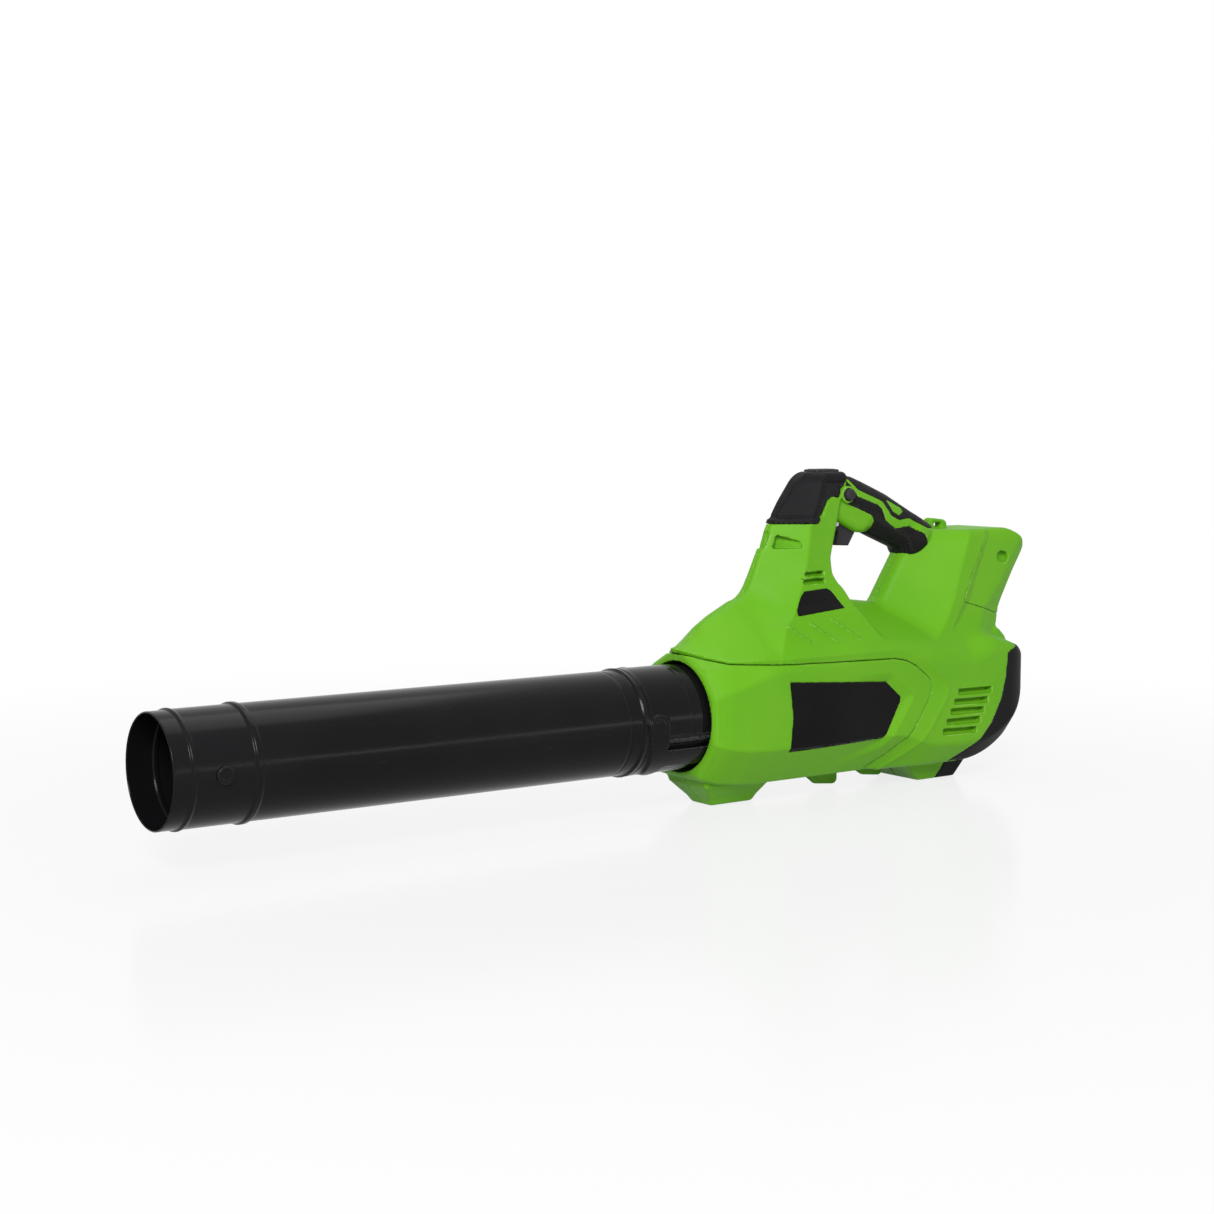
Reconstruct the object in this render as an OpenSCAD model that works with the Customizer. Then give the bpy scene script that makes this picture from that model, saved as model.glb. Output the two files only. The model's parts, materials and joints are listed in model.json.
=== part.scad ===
// Cordless axial leaf blower: a long blow tube on a bayonet collar, a moulded body in two
// halves with a fan, a motor and a guide-vane duct inside, a bridge handle with a trigger,
// and a sloping battery dock over a rear intake grille.
//
// Stations along the machine are measured from the rim of the body, where the tube enters it,
// positive towards the intake. Heights are measured from the tube's axis. Near side is -Y.

/* [Blow tube] */
// Length of the tube that shows in front of the body
tube_len = 488; // [400:1:560]
// Outer radius of the tube
tube_r = 45; // [42:0.5:46]
// Wall of the tube
tube_wall = 2; // [1.6:0.1:2.4]
// Length of the thicker collar that shows in front of the body
collar_len = 66; // [60:1:80]
// Extra radius of the collar
collar_t = 1.5; // [1:0.1:1.8]
// Length of the tube hidden inside the body
tube_insert = 26; // [20:1:30]
// Height of the two beads round the nozzle seat
bead_h = 1.6; // [1:0.1:2]
// Station of the first bead behind the mouth
bead_front = 16; // [12:1:20]
// Station of the second bead behind the mouth
bead_rear = 68; // [60:1:80]
// Radius of the two round nubs on the nozzle seat
nub_r = 7; // [5:0.5:8]
// Turn that unlocks the bayonet, in degrees
bayonet_turn = 23; // [18:1:26]

/* [Body] */
// Half the width of the body
body_hw = 63; // [61:0.5:66]
// Height of the tube's axis over the floor
axis_h = 80; // [76:0.5:84]
// Wall of the moulded halves
wall = 2.8; // [2.4:0.1:3.2]
// Step from the body's sides down to the side covers
cover_step = 2.6; // [2:0.1:3]
// Gap in the seams between mouldings
seam = 0.3; // [0.2:0.05:0.5]
// Number of cooling slots on each side
vent_n = 5; // [3:1:6]
// Length of a cooling slot
vent_len = 42; // [30:1:46]
// Height of a cooling slot
vent_h = 3.6; // [3:0.1:3.8]
// Distance from slot to slot
vent_pitch = 8.8; // [8:0.1:10]
// Height of the slots in the intake grille
grille_slot = 3.6; // [3:0.1:3.8]
// Distance from slot to slot in the intake grille
grille_pitch = 7.4; // [6.8:0.1:9]

/* [Handle] */
// Half the width of the grip
grip_hw = 17.5; // [16:0.5:19]
// Half the height of the grip
grip_hh = 20.5; // [19:0.5:22]
// Thickness of the soft overmould on the grip
overmould = 2; // [1.5:0.1:2.5]
// Radius of the trigger's pin
trigger_pin_r = 2; // [1.5:0.1:2.5]
// Travel of the trigger, in degrees
trigger_travel = 9; // [6:1:10]
// Radius of the cross-bolt lock button
lock_r = 5.5; // [4.5:0.1:6]
// Travel of the lock button
lock_travel = 4; // [3:0.5:5]
// Travel of the turbo button on top
turbo_travel = 2; // [1.5:0.1:2.5]

/* [Fan and motor] */
// Inner radius of the fan duct
duct_r = 49; // [47:0.5:49.5]
// Wall of the fan duct
duct_wall = 2.2; // [1.8:0.1:2.6]
// Gap from the blade tips to the duct
tip_gap = 0.8; // [0.6:0.1:1.5]
// Number of fan blades
blade_n = 9; // [5:1:11]
// Number of guide vanes
vane_n = 7; // [5:1:9]
// Radius of the fan's hub
hub_r = 23; // [21:0.5:25]
// Radius of the motor's shaft
shaft_r = 2.5; // [2:0.1:3]
// Outer radius of the motor's bearings
bearing_r = 8; // [7:0.5:9]
// Length of the motor's can
motor_len = 56; // [50:1:60]

/* [Battery dock] */
// Half the width of the battery dock
dock_hw = 40; // [38:0.5:42]
// Half the width of the slot that takes the battery
slot_hw = 27; // [25:0.5:29]
// Depth of the battery slot
slot_depth = 16; // [14:0.5:18]
// Depth of the grooves that hold the battery
rail_depth = 4; // [3:0.5:5]

/* [Hidden] */
$fn = 96;

GREEN = "#78b62d";
BLACK = "#1b1b1c";
SOFT = "#262627";
STEEL = "#b4b7bb";

fit = 0.05;                 // radial clearance of a running fit
gap = 0.3;                  // clearance between faces on different bodies
tilt_x = [0, 90, 0];        // turns a form built along Z to lie along X

// Whole machine: the dock's top rear edge is the last point behind the rim
rear_reach = 403;
overall_len = tube_len + rear_reach;
body_bottom = body_hw - 1;
foot_z = -axis_h;

// Tube and bayonet
tube_in_r = tube_r - tube_wall;
seat_r = tube_r - 0.4;      // seat of a push-on nozzle, between the mouth and the front bead
collar_r = tube_r + collar_t;
track_t = 1.8;
track_r = collar_r + track_t;
track_hw = 8;
track_front = -57;
rim_r = track_r + 0.7;
rim_lip = 5;                // thickness of the covers' front ring, seen from the side
lug_r = 4;
lug_x = track_front + track_hw;
lug_angle = 2.5;

// Fan, motor and duct stations, from the rim
duct_front = 64;
duct_rear = 300;
fan_x = 262;
hub_len = 30;
pod_wall = 2;
motor_r = hub_r - pod_wall - 0.4;
motor_rear = fan_x - 6;
motor_front = motor_rear - motor_len;
pod_front = motor_front - 6;
cap_len = 8;

// Envelope of the body: one row per cross-section, as
// [station, ridge height, ridge radius, half width, shoulder height, shoulder radius, bottom]
W = body_hw;
tail_x = 300;               // the rear corner is an ellipse round this station
tail_z = 22;
tail_end = rear_reach - 9;
tail_a = tail_end - tail_x;
tail_b = body_bottom + tail_z;
plan_r = 36;                // rounding of the rear corners seen from above
function tail_bottom(x) =
    x < tail_x ? -body_bottom : tail_z - tail_b * sqrt(max(0, 1 - pow((x - tail_x) / tail_a, 2)));
function tail_hw(x) =
    let (c = tail_end - plan_r)
    x < c ? W : W - plan_r + sqrt(max(0, plan_r * plan_r - pow(x - c, 2)));
FRONT_ROWS = [
    [0, 60.5, 22, 51, 6, 42, -51],
    [10, 64, 18, 56.5, 14, 36, -56],
    [22, 71, 15, 59.5, 24, 32, -59],
    [38, 82, 13, 61.5, 32, 29, -61],
    [60, 95, 12, 62.5, 37, 28, -body_bottom],
    [86, 104, 12, W, 39, 28, -body_bottom],
    [150, 99, 14, W, 40, 28, -body_bottom],
    [205, 92, 18, W, 38, 28, -body_bottom],
    [250, 87, 22, W, 34, 28, -body_bottom],
    [tail_x, 72, 26, W, 27, 28, -body_bottom]
];
TAIL_STATIONS = [328, 349, 366, 379, 388, 393.5, tail_end];
function tail_top(x) = x < 366 ? 72 - (x - tail_x) * 0.37 : 47.6 - (x - 366) * 0.55;
function tail_row(x) =
    let (top = tail_top(x), low = tail_bottom(x), r = min(26, max(8, 26 - (x - tail_x) * 0.23), (top - low) / 2.6))
    [x, top, r, tail_hw(x), top - r - 2, r, low];
ROWS = concat(FRONT_ROWS, [for (x = TAIL_STATIONS) tail_row(x)]);

// Places a form drawn from the rim and the tube's axis in the machine's own frame
module place() {
    translate([tube_len - overall_len / 2, 0, axis_h]) children();
}

// Extrudes a side view, drawn as [station, height], from y0 to y1
module side(y0, y1) {
    translate([0, y1, 0]) rotate([90, 0, 0]) linear_extrude(y1 - y0) children();
}

// Round bar across the machine at [station, height]
module bar(at, r, y0, y1) {
    translate([at[0], y0, at[1]]) rotate([-90, 0, 0]) cylinder(h = y1 - y0, r = r);
}

// Half of space: -1 is the near side, 1 the far side
module half(side) {
    translate([-150, side < 0 ? -150 : 0, -150]) cube([650, 150, 450]);
}

// Direction of the outward normal where two neighbouring circles share a tangent
function tangent(a, b) =
    let (dx = b[0] - a[0], dy = b[1] - a[1])
    atan2(dy, dx) - acos((a[2] - b[2]) / norm([dx, dy]));

// Outline round a convex chain of circles [x, y, radius], with steps + 1 points on each arc
function outline(c, steps) =
    let (n = len(c))
    [for (i = [0 : n - 1])
        let (t0 = tangent(c[(i + n - 1) % n], c[i]), t1 = tangent(c[i], c[(i + 1) % n]))
        let (turn = (t1 - t0 + 720) % 360)
        for (j = [0 : steps]) let (t = t0 + turn * j / steps)
            [c[i][0] + c[i][2] * cos(t), c[i][1] + c[i][2] * sin(t)]];

// Closed skin over a row of outlines with equally many points
module loft(rings) {
    n = len(rings[0]);
    m = len(rings);
    polyhedron(
        points = [for (r = rings) each r],
        faces = concat(
            [[for (i = [0 : n - 1]) i]],
            [for (k = [0 : m - 2], i = [0 : n - 1])
                each let (a = k * n + i, b = k * n + (i + 1) % n) [[a, b + n, b], [a, a + n, b + n]]],
            [[for (i = [n - 1 : -1 : 0]) (m - 1) * n + i]]
        ),
        convexity = 6
    );
}

// Evaluates a moulding as one mesh
module moulding() {
    resize([0, 0, 0]) children();
}

// Body outline at one station: ridge, shoulders, sides and keel, shrunk by the inset
function keel_radius(x) = max(8, min(24, 8 + (x - 225) * 0.4));
function body_ring(row, inset, steps) =
    let (
        hw = row[3], low = row[6], keel_r = min(keel_radius(row[0]), (row[4] - row[6]) * 0.4),
        drop = min(34 - keel_r, (row[4] - low) * 0.42),
        half = [
            [hw - keel_r - drop * 0.72, low + keel_r, keel_r - inset],
            [hw - keel_r, low + keel_r + drop, keel_r - inset],
            [hw - row[5], row[4], row[5] - inset]
        ],
        chain = concat(half, [[0, row[1] - row[2], row[2] - inset]],
                       [for (i = [2 : -1 : 0]) [-half[i][0], half[i][1], half[i][2]]])
    )
    [for (p = outline(chain, steps)) [row[0], p[0], p[1]]];

// Body without its post, pillar and feet
module envelope(inset = 0, steps = 3) {
    rows = [for (r = ROWS) if (r[1] - r[6] > 8 * inset && r[0] < tail_end - inset + 0.01) r];
    loft([for (r = rows) body_ring(r, inset, steps)]);
}

// Plan outline at one height: a narrow nose, then full width, then the rear; an inset also
// lowers it, so that a hollow keeps its roof
plan_r_small = 4.5;
function plan_ring(row, inset, steps) =
    let (
        r = plan_r_small,
        chain = [
            [row[5] - r, -row[6] + r, r - inset], [row[5] - r, row[6] - r, r - inset],
            [row[3] + r, row[4] - r, r - inset], [row[1] + r, row[2] - r, r - inset],
            [row[1] + r, -row[2] + r, r - inset], [row[3] + r, -row[4] + r, r - inset]
        ]
    )
    [for (p = outline(chain, steps)) [p[0], p[1], row[0] - inset]];

module plan_loft(rows, inset, steps = 2) {
    loft([for (r = rows) plan_ring(r, inset, steps)]);
}

// Front post under the handle, prow-shaped, as
// [height, nose station, nose half width, shoulder station, half width, rear station, rear half width]
POST_ROWS = [
    [60, 60, 20, 84, 55, 196, 54],
    [76, 66, 14, 88, 46, 190, 45],
    [94, 74, 10, 98, 37, 178, 35],
    [112, 84, 9, 107, 31, 166, 28],
    [134, 93, 9, 118, 27, 161, 24],
    [165, 105, 9, 136, 24, 167, 21]
];
// Head of the post, which the cap covers
cap_wall = 2.8;
HEAD_ROWS = [
    [158, 102.5, 9, 133, 24.5, 166, 22],
    [165, 105, 9, 136, 24, 168, 21],
    [184, 117, 9, 143, 23, 173, 20],
    [204, 133, 10, 150, 20.5, 184, 17],
    [211, 142, 9, 157, 17.5, 184, 14]
];
// Rear pillar that carries the handle's end and the battery dock
PILLAR_ROWS = [
    [36, 206, 34, 250, 60, 364, 60],
    [54, 212, 24, 262, 54, 361, 54],
    [72, 222, 17, 278, 48, 361, 47],
    [92, 233, 14, 290, 44, 372, 43],
    [112, 246, 14, 298, 41.5, 383, 41],
    [136, 262, 14, 310, 40, 397, 40],
    [149, 271, 14, 316, 38.5, 392, 38],
    [155, 284, 14, 320, 34, 376, 34]
];
module post(inset = 0) {
    plan_loft(POST_ROWS, inset);
}
module head(inset = 0) {
    plan_loft(HEAD_ROWS, inset);
}
module pillar(inset = 0) {
    plan_loft(PILLAR_ROWS, inset);
}

// Grip: a loft of ovals along a falling line, as [station, height, half height, half width]
grip_tilt = 24;
GRIP_ROWS = [
    [160, 196, grip_hh - 7, grip_hw - 2],
    [178, 191.5, grip_hh - 1.5, grip_hw - 0.5],
    [205, 180, grip_hh, grip_hw],
    [231, 168.5, grip_hh, grip_hw],
    [250, 159, grip_hh + 1.5, grip_hw + 0.5],
    [266, 150.5, grip_hh + 4, grip_hw + 2.5],
    [278, 145, grip_hh + 3, grip_hw + 2],
    [288, 140.5, grip_hh - 2, grip_hw],
    [304, 133, grip_hh - 6, grip_hw - 4]
];
function grip_ring(row, inset, n) =
    [for (i = [0 : n - 1]) let (t = 360 * i / n, h = (row[2] - inset) * sin(t))
        [row[0] + h * sin(grip_tilt), (row[3] - inset) * cos(t), row[1] + h * cos(grip_tilt)]];
module grip(inset = 0, n = 24) {
    loft([for (r = GRIP_ROWS) grip_ring(r, inset, n)]);
}

// Green boss under the grip's front end, which holds the trigger
BOSS = [[160, 190], [164, 170], [175, 166], [198, 155], [207, 154], [215, 159], [217, 168], [198, 184]];
boss_hw = 15;
module boss(inset = 0) {
    hull() {
        side(-boss_hw + 3 + inset, boss_hw - 3 - inset) offset(delta = -inset) polygon(BOSS);
        side(-boss_hw + inset, boss_hw - inset) offset(delta = -3 - inset) polygon(BOSS);
    }
}

// Line in the side view where the cap ends above the post
CAP_EDGE = [[90, 165], [142, 165], [148, 172], [156, 185], [162, 188.5], [171, 187], [174, 191],
            [180, 200], [184, 207], [184, 230], [90, 230]];

// Seam round the side cover, and the ridge of the body outside it
COVER_EDGE = [
    [-40, 58], [-4, 57.5], [14, 52], [34, 47], [67, 45], [205, 42], [218, 39.5], [230, 33.5],
    [241, 26], [248, 19], [249.5, 12], [247, 4], [228, -23], [205, -45], [188, -56], [174, -70], [174, -100], [-40, -100]
];
RIDGE_EDGE = [
    [-40, 66], [14, 62], [34, 57], [67, 54.5], [208, 51], [224, 47.5], [238, 40], [252, 29], [266, 19],
    [269.5, 12], [268, 4], [247, -25], [224, -48], [206, -60], [196, -75], [196, -100], [-40, -100]
];

// Region of the side view that belongs to the black tail: outside an ellipse round the lower
// rear corner, and behind a sloping line through the rear foot
GRILLE_LIMIT = [
    [200, -60], [298, -60], [288, foot_z - 1], [450, foot_z - 1], [450, 20], [395, 33],
    [368, 47.5], [200, 47.5]
];
module grille_region(grow = 0) {
    difference() {
        offset(delta = grow) polygon(GRILLE_LIMIT);
        translate([250, 45]) scale([101 - grow, 105 - grow]) circle(r = 1, $fn = 48);
        translate([190, 25]) square([159 - grow, 30]);
        translate([190, -60]) square([70, 120]);
    }
}

module cover_region(y0, y1, grow = 0) {
    side(y0, y1) offset(delta = grow) polygon(COVER_EDGE);
}

// Sloping face of the battery dock in the side view
DOCK_BOTTOM = [361, 70];
DOCK_TOP = [397, 135];
dock_angle = atan2(DOCK_TOP[0] - DOCK_BOTTOM[0], DOCK_TOP[1] - DOCK_BOTTOM[1]);
dock_height = norm(DOCK_TOP - DOCK_BOTTOM);
// Local frame on the dock's face: Z up along the face, X out of it
module on_dock() {
    translate([DOCK_BOTTOM[0], 0, DOCK_BOTTOM[1]]) rotate([0, dock_angle, 0]) children();
}
DOCK_REGION = [[346, 170], [345, 155], [300, 86], [304, 83.5], [336, 74], [372, 62], [420, 62], [420, 170]];

// Feet, each a loft through footprints at a few heights, as [height, x0, x1, half width]
module foot(rows) {
    loft([for (r = rows) [[r[1], -r[3], r[0]], [r[2], -r[3], r[0]], [r[2], r[3], r[0]], [r[1], r[3], r[0]]]]);
}
front_foot_rows = [[foot_z, 29, 72, 9], [foot_z + 6, 25, 75, 12], [-62, 14, 84, 24], [-46, 8, 88, 26]];
rear_foot_rows = [[foot_z, 266, 314, 27], [-62, 246, 324, 33], [-46, 242, 330, 34]];

module rear_foot() {
    foot(rear_foot_rows);
}

// Rib under the body's keel with round ends
module keel_tab(x0, x1) {
    side(-2.6, 2.6) hull() {
        translate([x0, -58]) square([x1 - x0, 1]);
        translate([x1 - 6, foot_z + 7]) circle(r = 5, $fn = 24);
        translate([x0 + 20, foot_z + 9]) circle(r = 5, $fn = 24);
    }
}

// Eyelet for a strap, at the end of the grip
eyelet = [310, 158];
module eyelet_loop() {
    difference() {
        side(-5, 5) hull() {
            translate([eyelet[0] - 7, eyelet[1] + 3.6]) circle(r = 3.4, $fn = 20);
            translate([eyelet[0] + 7, eyelet[1] + 2]) circle(r = 3.4, $fn = 20);
            translate([eyelet[0] - 16, eyelet[1] - 8]) square([32, 1]);
        }
        side(-6, 6) translate([eyelet[0] - 5, eyelet[1] - 1.4]) square([9.4, 3.8]);
    }
}

// Screws that close the housing, as [station, height, far end of the head]
SCREWS = [[128, 152, 17], [130, 82, 40], [292, 104, 34], [268, 62, 46], [228, -56.5, 40], [322, 62, 42]];
COVER_SCREWS = [[56, -56, 28], [150, -56.5, 38]];
screw_r = 1.5;
screw_head_r = 3;
screw_boss_r = 4.4;
module screw(s, near) {
    bar([s[0], s[1]], screw_r, -near, s[2]);
    bar([s[0], s[1]], screw_head_r, s[2], s[2] + 2.4);
}
module screw_holes(list, near) {
    for (s = list) {
        bar([s[0], s[1]], screw_r + 0.15, -near - 0.5, 90, $fn = 10);
        bar([s[0], s[1]], screw_head_r + 0.5, s[2] - 0.1, 90, $fn = 14);
    }
}
screw_near = 9;

// Ribs across the housing that hold the fan duct and the spigot
RIBS = [1.5, 204];
module rib_slabs(list) {
    for (x = list) translate([x - 1.5, -80, -90]) cube([3, 160, 260]);
}

floor_z = 99;
// Inside of the body: what is hollow behind the wall
module hollow() {
    difference() {
        union() {
            envelope(wall, 1);
            plan_loft(POST_ROWS, wall, 1);
            plan_loft(HEAD_ROWS, wall + 1.6, 1);
            plan_loft(PILLAR_ROWS, wall, 1);
            grip(overmould + wall, 12);
        }
        rib_slabs(RIBS);
        for (s = SCREWS) bar([s[0], s[1]], screw_boss_r, -70, 70, $fn = 10);
        // Thick wall behind the cooling slots
        for (s = [-1, 1]) translate([250, s * (W + 3) - 10, -44]) cube([94, 20, 62]);
        // Thick wall behind the scoops
        translate([88, -40, 140]) cube([40, 80, 20]);
        // Floor of the post, which carries the control board
        translate([50, -60, floor_z - 3]) cube([180, 120, 3]);
    }
}

module duct_space($fn = 40) {
    rotate(tilt_x) translate([0, 0, -20]) cylinder(h = 340, r = duct_r + duct_wall + 0.2);
    // The liner's bell mouth and its flange
    rotate(tilt_x) translate([0, 0, duct_rear - 12])
        cylinder(h = 130, r1 = duct_r + duct_wall + 0.2, r2 = duct_r + duct_wall + 7);
}

vent_depth = 3.6;
module vent_slots() {
    for (i = [0 : vent_n - 1]) {
        x = 284 - i * 4.8;
        z = 6.2 - i * vent_pitch;
        for (s = [-1, 1]) translate([x, s * W, z]) side(-vent_depth, vent_depth) hull() {
            circle(r = vent_h / 2, $fn = 16);
            translate([vent_len - vent_h, -0.8]) circle(r = vent_h / 2, $fn = 16);
        }
    }
}

// Scooped recess high on each side of the post
module scoops() {
    for (s = [-1, 1]) scale([1, s, 1]) hull() {
        translate([98, 9, 144]) rotate([0, 0, 32]) translate([1, -7, 0]) cube([29, 11, 0.5]);
        translate([101, 9, 155]) rotate([0, 0, 32]) translate([1, -7, 0]) cube([15, 11, 0.5]);
    }
}

module post_vents() {
    for (z = [118, 111.5], s = [-1, 1]) translate([123, s > 0 ? 20 : -40, z]) cube([23, 20, 3]);
}

POST_BADGE = [[108, 84], [113.5, 102], [119, 106], [146, 107.5], [151, 105], [164, 89]];

module badge_slab(grow, y_from) {
    side(y_from, 80) offset(delta = grow) polygon(POST_BADGE);
}

// Outer form of the green housing, both halves together
module housing_form() {
    envelope();
    post();
    head(cap_wall);
    pillar();
    grip_core();
    boss();
    rear_foot();
    keel_tab(205, 252);
    eyelet_loop();
}

// Band that stays green between the two parts of the overmould
BAND = [
    [181, 216], [184.5, 205], [196, 188], [222, 179.5], [226, 176], [231, 165.5], [244, 157], [260, 159],
    [277, 151.5], [280, 146], [287, 139], [300, 140], [296, 156], [285, 156.5], [279, 158.5],
    [262, 166.5], [248, 165], [238, 169.5], [229, 182], [226, 184], [197, 194.5], [188.5, 205], [184.5, 216]
];
WINDOW = [[236, 182], [255, 173], [249, 169.5], [242, 172]];
UNDER = [[140, 200], [172, 186], [186, 180], [198, 176], [215, 170], [218, 165], [214, 120], [140, 120]];
module grip_green(grow = 0) {
    side(-40, 40) offset(delta = grow) {
        polygon(BAND);
        polygon(WINDOW);
        polygon(UNDER);
    }
}
module grip_core() {
    grip(overmould);
    intersection() {
        grip();
        grip_green();
    }
}
grip_end = 288;
module grip_shell() {
    difference() {
        intersection() {
            grip();
            side(-40, 40) polygon([[184, 230], [184, 207], [180, 200], [174, 191], [172, 180], [186, 140],
                                   [grip_end - 24, 110], [grip_end, 142], [296, 160], [296, 230]]);
        }
        grip(overmould - 0.1);
        grip_green(0.12);
        boss(-0.12);
        pillar(-0.2);
        lock_bore(0.25);
        head(-0.2);
    }
}

lock_at = [182, 190];
lock_reach = grip_hw + 5;
module lock_bore(clear) {
    bar(lock_at, lock_r + clear, -60, 60, $fn = 28);
}

// Everything cut through both halves
module housing_cuts() {
    hollow();
    duct_space();
    vent_slots();
    scoops();
    post_vents();
    screw_holes(SCREWS, screw_near);
    lock_bore(0.3);
    trigger_space();
    turbo_space();
    switch_space();
    // Recess for the side cover, sloping from the ridge down to the seam
    for (s = [-1, 1]) hull() {
        translate([0, s * (W + 0.6), 0]) side(-0.3, 0.3) polygon(RIDGE_EDGE);
        translate([0, s * (W - cover_step), 0]) side(-0.3, 0.3) polygon(COVER_EDGE);
    }
    cover_region(-90, 90);
    side(-90, 90) grille_region();
    side(-dock_hw - 20, dock_hw + 20) polygon(DOCK_REGION);
}

module housing_half(s) {
    color(GREEN) moulding() place() difference() {
        intersection() {
            housing_form();
            half(s);
        }
        housing_cuts();
        scale([1, s, 1]) post_badge_pocket();
    }
}
module housing_left() {
    housing_half(-1);
}
module housing_right() {
    housing_half(1);
}

// Shallow pocket in the post's side, and the badge that fills it; drawn on +Y
badge_depth = 1;
module post_badge_pocket() {
    difference() {
        badge_slab(0.1, 20);
        plan_loft(POST_ROWS, badge_depth);
    }
}
module post_badge(s) {
    color(BLACK) moulding() place() scale([1, s, 1]) difference() {
        intersection() {
            plan_loft(POST_ROWS, -0.3);
            badge_slab(-0.15, 20);
        }
        plan_loft(POST_ROWS, badge_depth - 0.1);
    }
}
module post_badge_left() {
    post_badge(-1);
}
module post_badge_right() {
    post_badge(1);
}

// Side covers: the lower front of the body, from the rim to the seam
SIDE_BADGE = [[78, 30.5], [194, 22.5], [213, 7], [212, 2], [196, -25], [191, -29.5], [79, -32], [82, -1]];
cover_z = body_bottom;
module cover_form() {
    intersection() {
        envelope(cover_step * 0.5);
        cover_region(-90, 90, -seam);
    }
    intersection() {
        foot(front_foot_rows);
        cover_region(-90, 90, -seam);
        translate([0, -60, foot_z]) cube([200, 120, axis_h - 40]);
    }
    keel_tab(142, 178);
}
module cover_half(s) {
    color(GREEN) moulding() place() difference() {
        intersection() {
            cover_form();
            half(s);
        }
        difference() {
            envelope(cover_step * 0.5 + wall, 1);
            rib_slabs([100]);
            for (c = COVER_SCREWS) bar([c[0], c[1]], screw_boss_r, -70, 70, $fn = 10);
            translate([-1, -90, -90]) cube([1 + rim_lip, 180, 180]);
        }
        rotate(tilt_x) translate([0, 0, -20]) cylinder(h = 60, r = rim_r, $fn = 64);
        rotate(tilt_x) translate([0, 0, rim_lip]) cylinder(h = 255, r = duct_r + duct_wall + 0.2, $fn = 48);
        scale([1, s, 1]) side_badge_pocket();
        screw_holes(COVER_SCREWS, screw_near);
        screw_holes([SCREWS[4]], screw_near);
    }
}
module cover_left() {
    cover_half(-1);
}
module cover_right() {
    cover_half(1);
}

module side_badge_pocket() {
    difference() {
        side(30, 90) offset(delta = 0.1) polygon(SIDE_BADGE);
        envelope(cover_step * 0.5 + 1.2);
    }
}
module side_badge(s) {
    color(BLACK) moulding() place() scale([1, s, 1]) difference() {
        intersection() {
            envelope(cover_step * 0.5 - 0.3);
            side(30, 90) offset(delta = -0.15) polygon(SIDE_BADGE);
        }
        envelope(cover_step * 0.5 + 1.1);
    }
}
module side_badge_left() {
    side_badge(-1);
}
module side_badge_right() {
    side_badge(1);
}

// Hood over the post's head, with a seat for the turbo button
module handle_cap() {
    color(BLACK) moulding() place() difference() {
        intersection() {
            head();
            side(-40, 40) offset(delta = -0.15) polygon(CAP_EDGE);
        }
        head(cap_wall - 0.15);
        grip_core();
        grip_shell_space();
        turbo_space();
        lock_bore(0.8);
    }
}
module grip_shell_space() {
    intersection() {
        grip(-0.15);
        side(-40, 40)
            polygon([[184, 230], [184, 207], [180, 200], [174, 191], [172, 180], [186, 140], [296, 140], [296, 230]]);
    }
}

// Turbo button: a pad that slides down into the cap's top
turbo_x = 166;
turbo_len = 30;
turbo_hw = 10;
turbo_top = 213.5;
turbo_floor = 196;
module turbo_pad(grow, z0, z1) {
    translate([turbo_x, 0, z0]) linear_extrude(z1 - z0) offset(r = 3 + grow) offset(delta = -3)
        square([turbo_len, 2 * turbo_hw], center = true);
}
module turbo_space() {
    turbo_pad(gap, turbo_floor, 230);
}
module turbo_button() {
    color("#2d2c2e") place() difference() {
        union() {
            turbo_pad(0, turbo_floor + 5, turbo_top);
            translate([turbo_x, 0, turbo_floor + turbo_travel + 0.6]) cylinder(h = 3, r = 2.4);
        }
        for (x = [-9 : 4.5 : 9])
            translate([turbo_x + x - 0.7, -turbo_hw + 3, turbo_top - 0.8]) cube([1.4, 2 * turbo_hw - 6, 1]);
    }
}
spring_wire = 0.7;
module turbo_spring() {
    color(STEEL) place() for (i = [0 : 3])
        translate([turbo_x, 0, turbo_floor + 0.4 + i * 1.15]) rotate_extrude()
            translate([4.4, 0]) circle(r = spring_wire / 2 + 0.1, $fn = 16);
}

// Cross-bolt that locks the trigger, pushed from either side
module lock_button() {
    color("#353336") place() difference() {
        union() {
            bar(lock_at, lock_r, -lock_reach, lock_reach);
            for (s = [-1, 1])
                translate([lock_at[0], s * lock_reach, lock_at[1]]) scale([1, 0.28, 1])
                    sphere(r = lock_r, $fn = 48);
        }
        // Flat that clears the trigger's finger
        translate([lock_at[0] - 8, -6, lock_at[1] - 12]) cube([16, 12, 9]);
    }
}

// Trigger, its pin and the switch it works
trigger_at = [176, 163];
TRIGGER = [
    [171, 168.5], [179, 168.5], [197, 163], [204, 160.5], [204, 156], [198, 154.5], [199, 150], [193, 142.5],
    [186, 141.5], [179.5, 142.5], [179, 147], [181, 155], [171.5, 158.5]
];
trigger_hw = 7;
module trigger_space() {
    side(-trigger_hw - 0.6, trigger_hw + 0.6)
        polygon([[168.5, 172], [206.5, 168], [206.5, 150], [190, 136], [172, 138], [168.5, 155]]);
    bar(trigger_at, trigger_pin_r + 0.12, -11, 11, $fn = 40);
}
module trigger() {
    color("#343336") place() difference() {
        side(-trigger_hw, trigger_hw) polygon(TRIGGER);
        bar(trigger_at, trigger_pin_r + fit, -20, 20);
    }
}
module trigger_pin() {
    color(STEEL) place() bar(trigger_at, trigger_pin_r, -10.8, 10.8);
}
switch_box = [[184, 171], [216, 160]];
module switch_space() {
    translate([207, 0, 172]) rotate([0, grip_tilt, 0]) cube([44.4, 18.4, 15.4], center = true);
}
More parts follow.
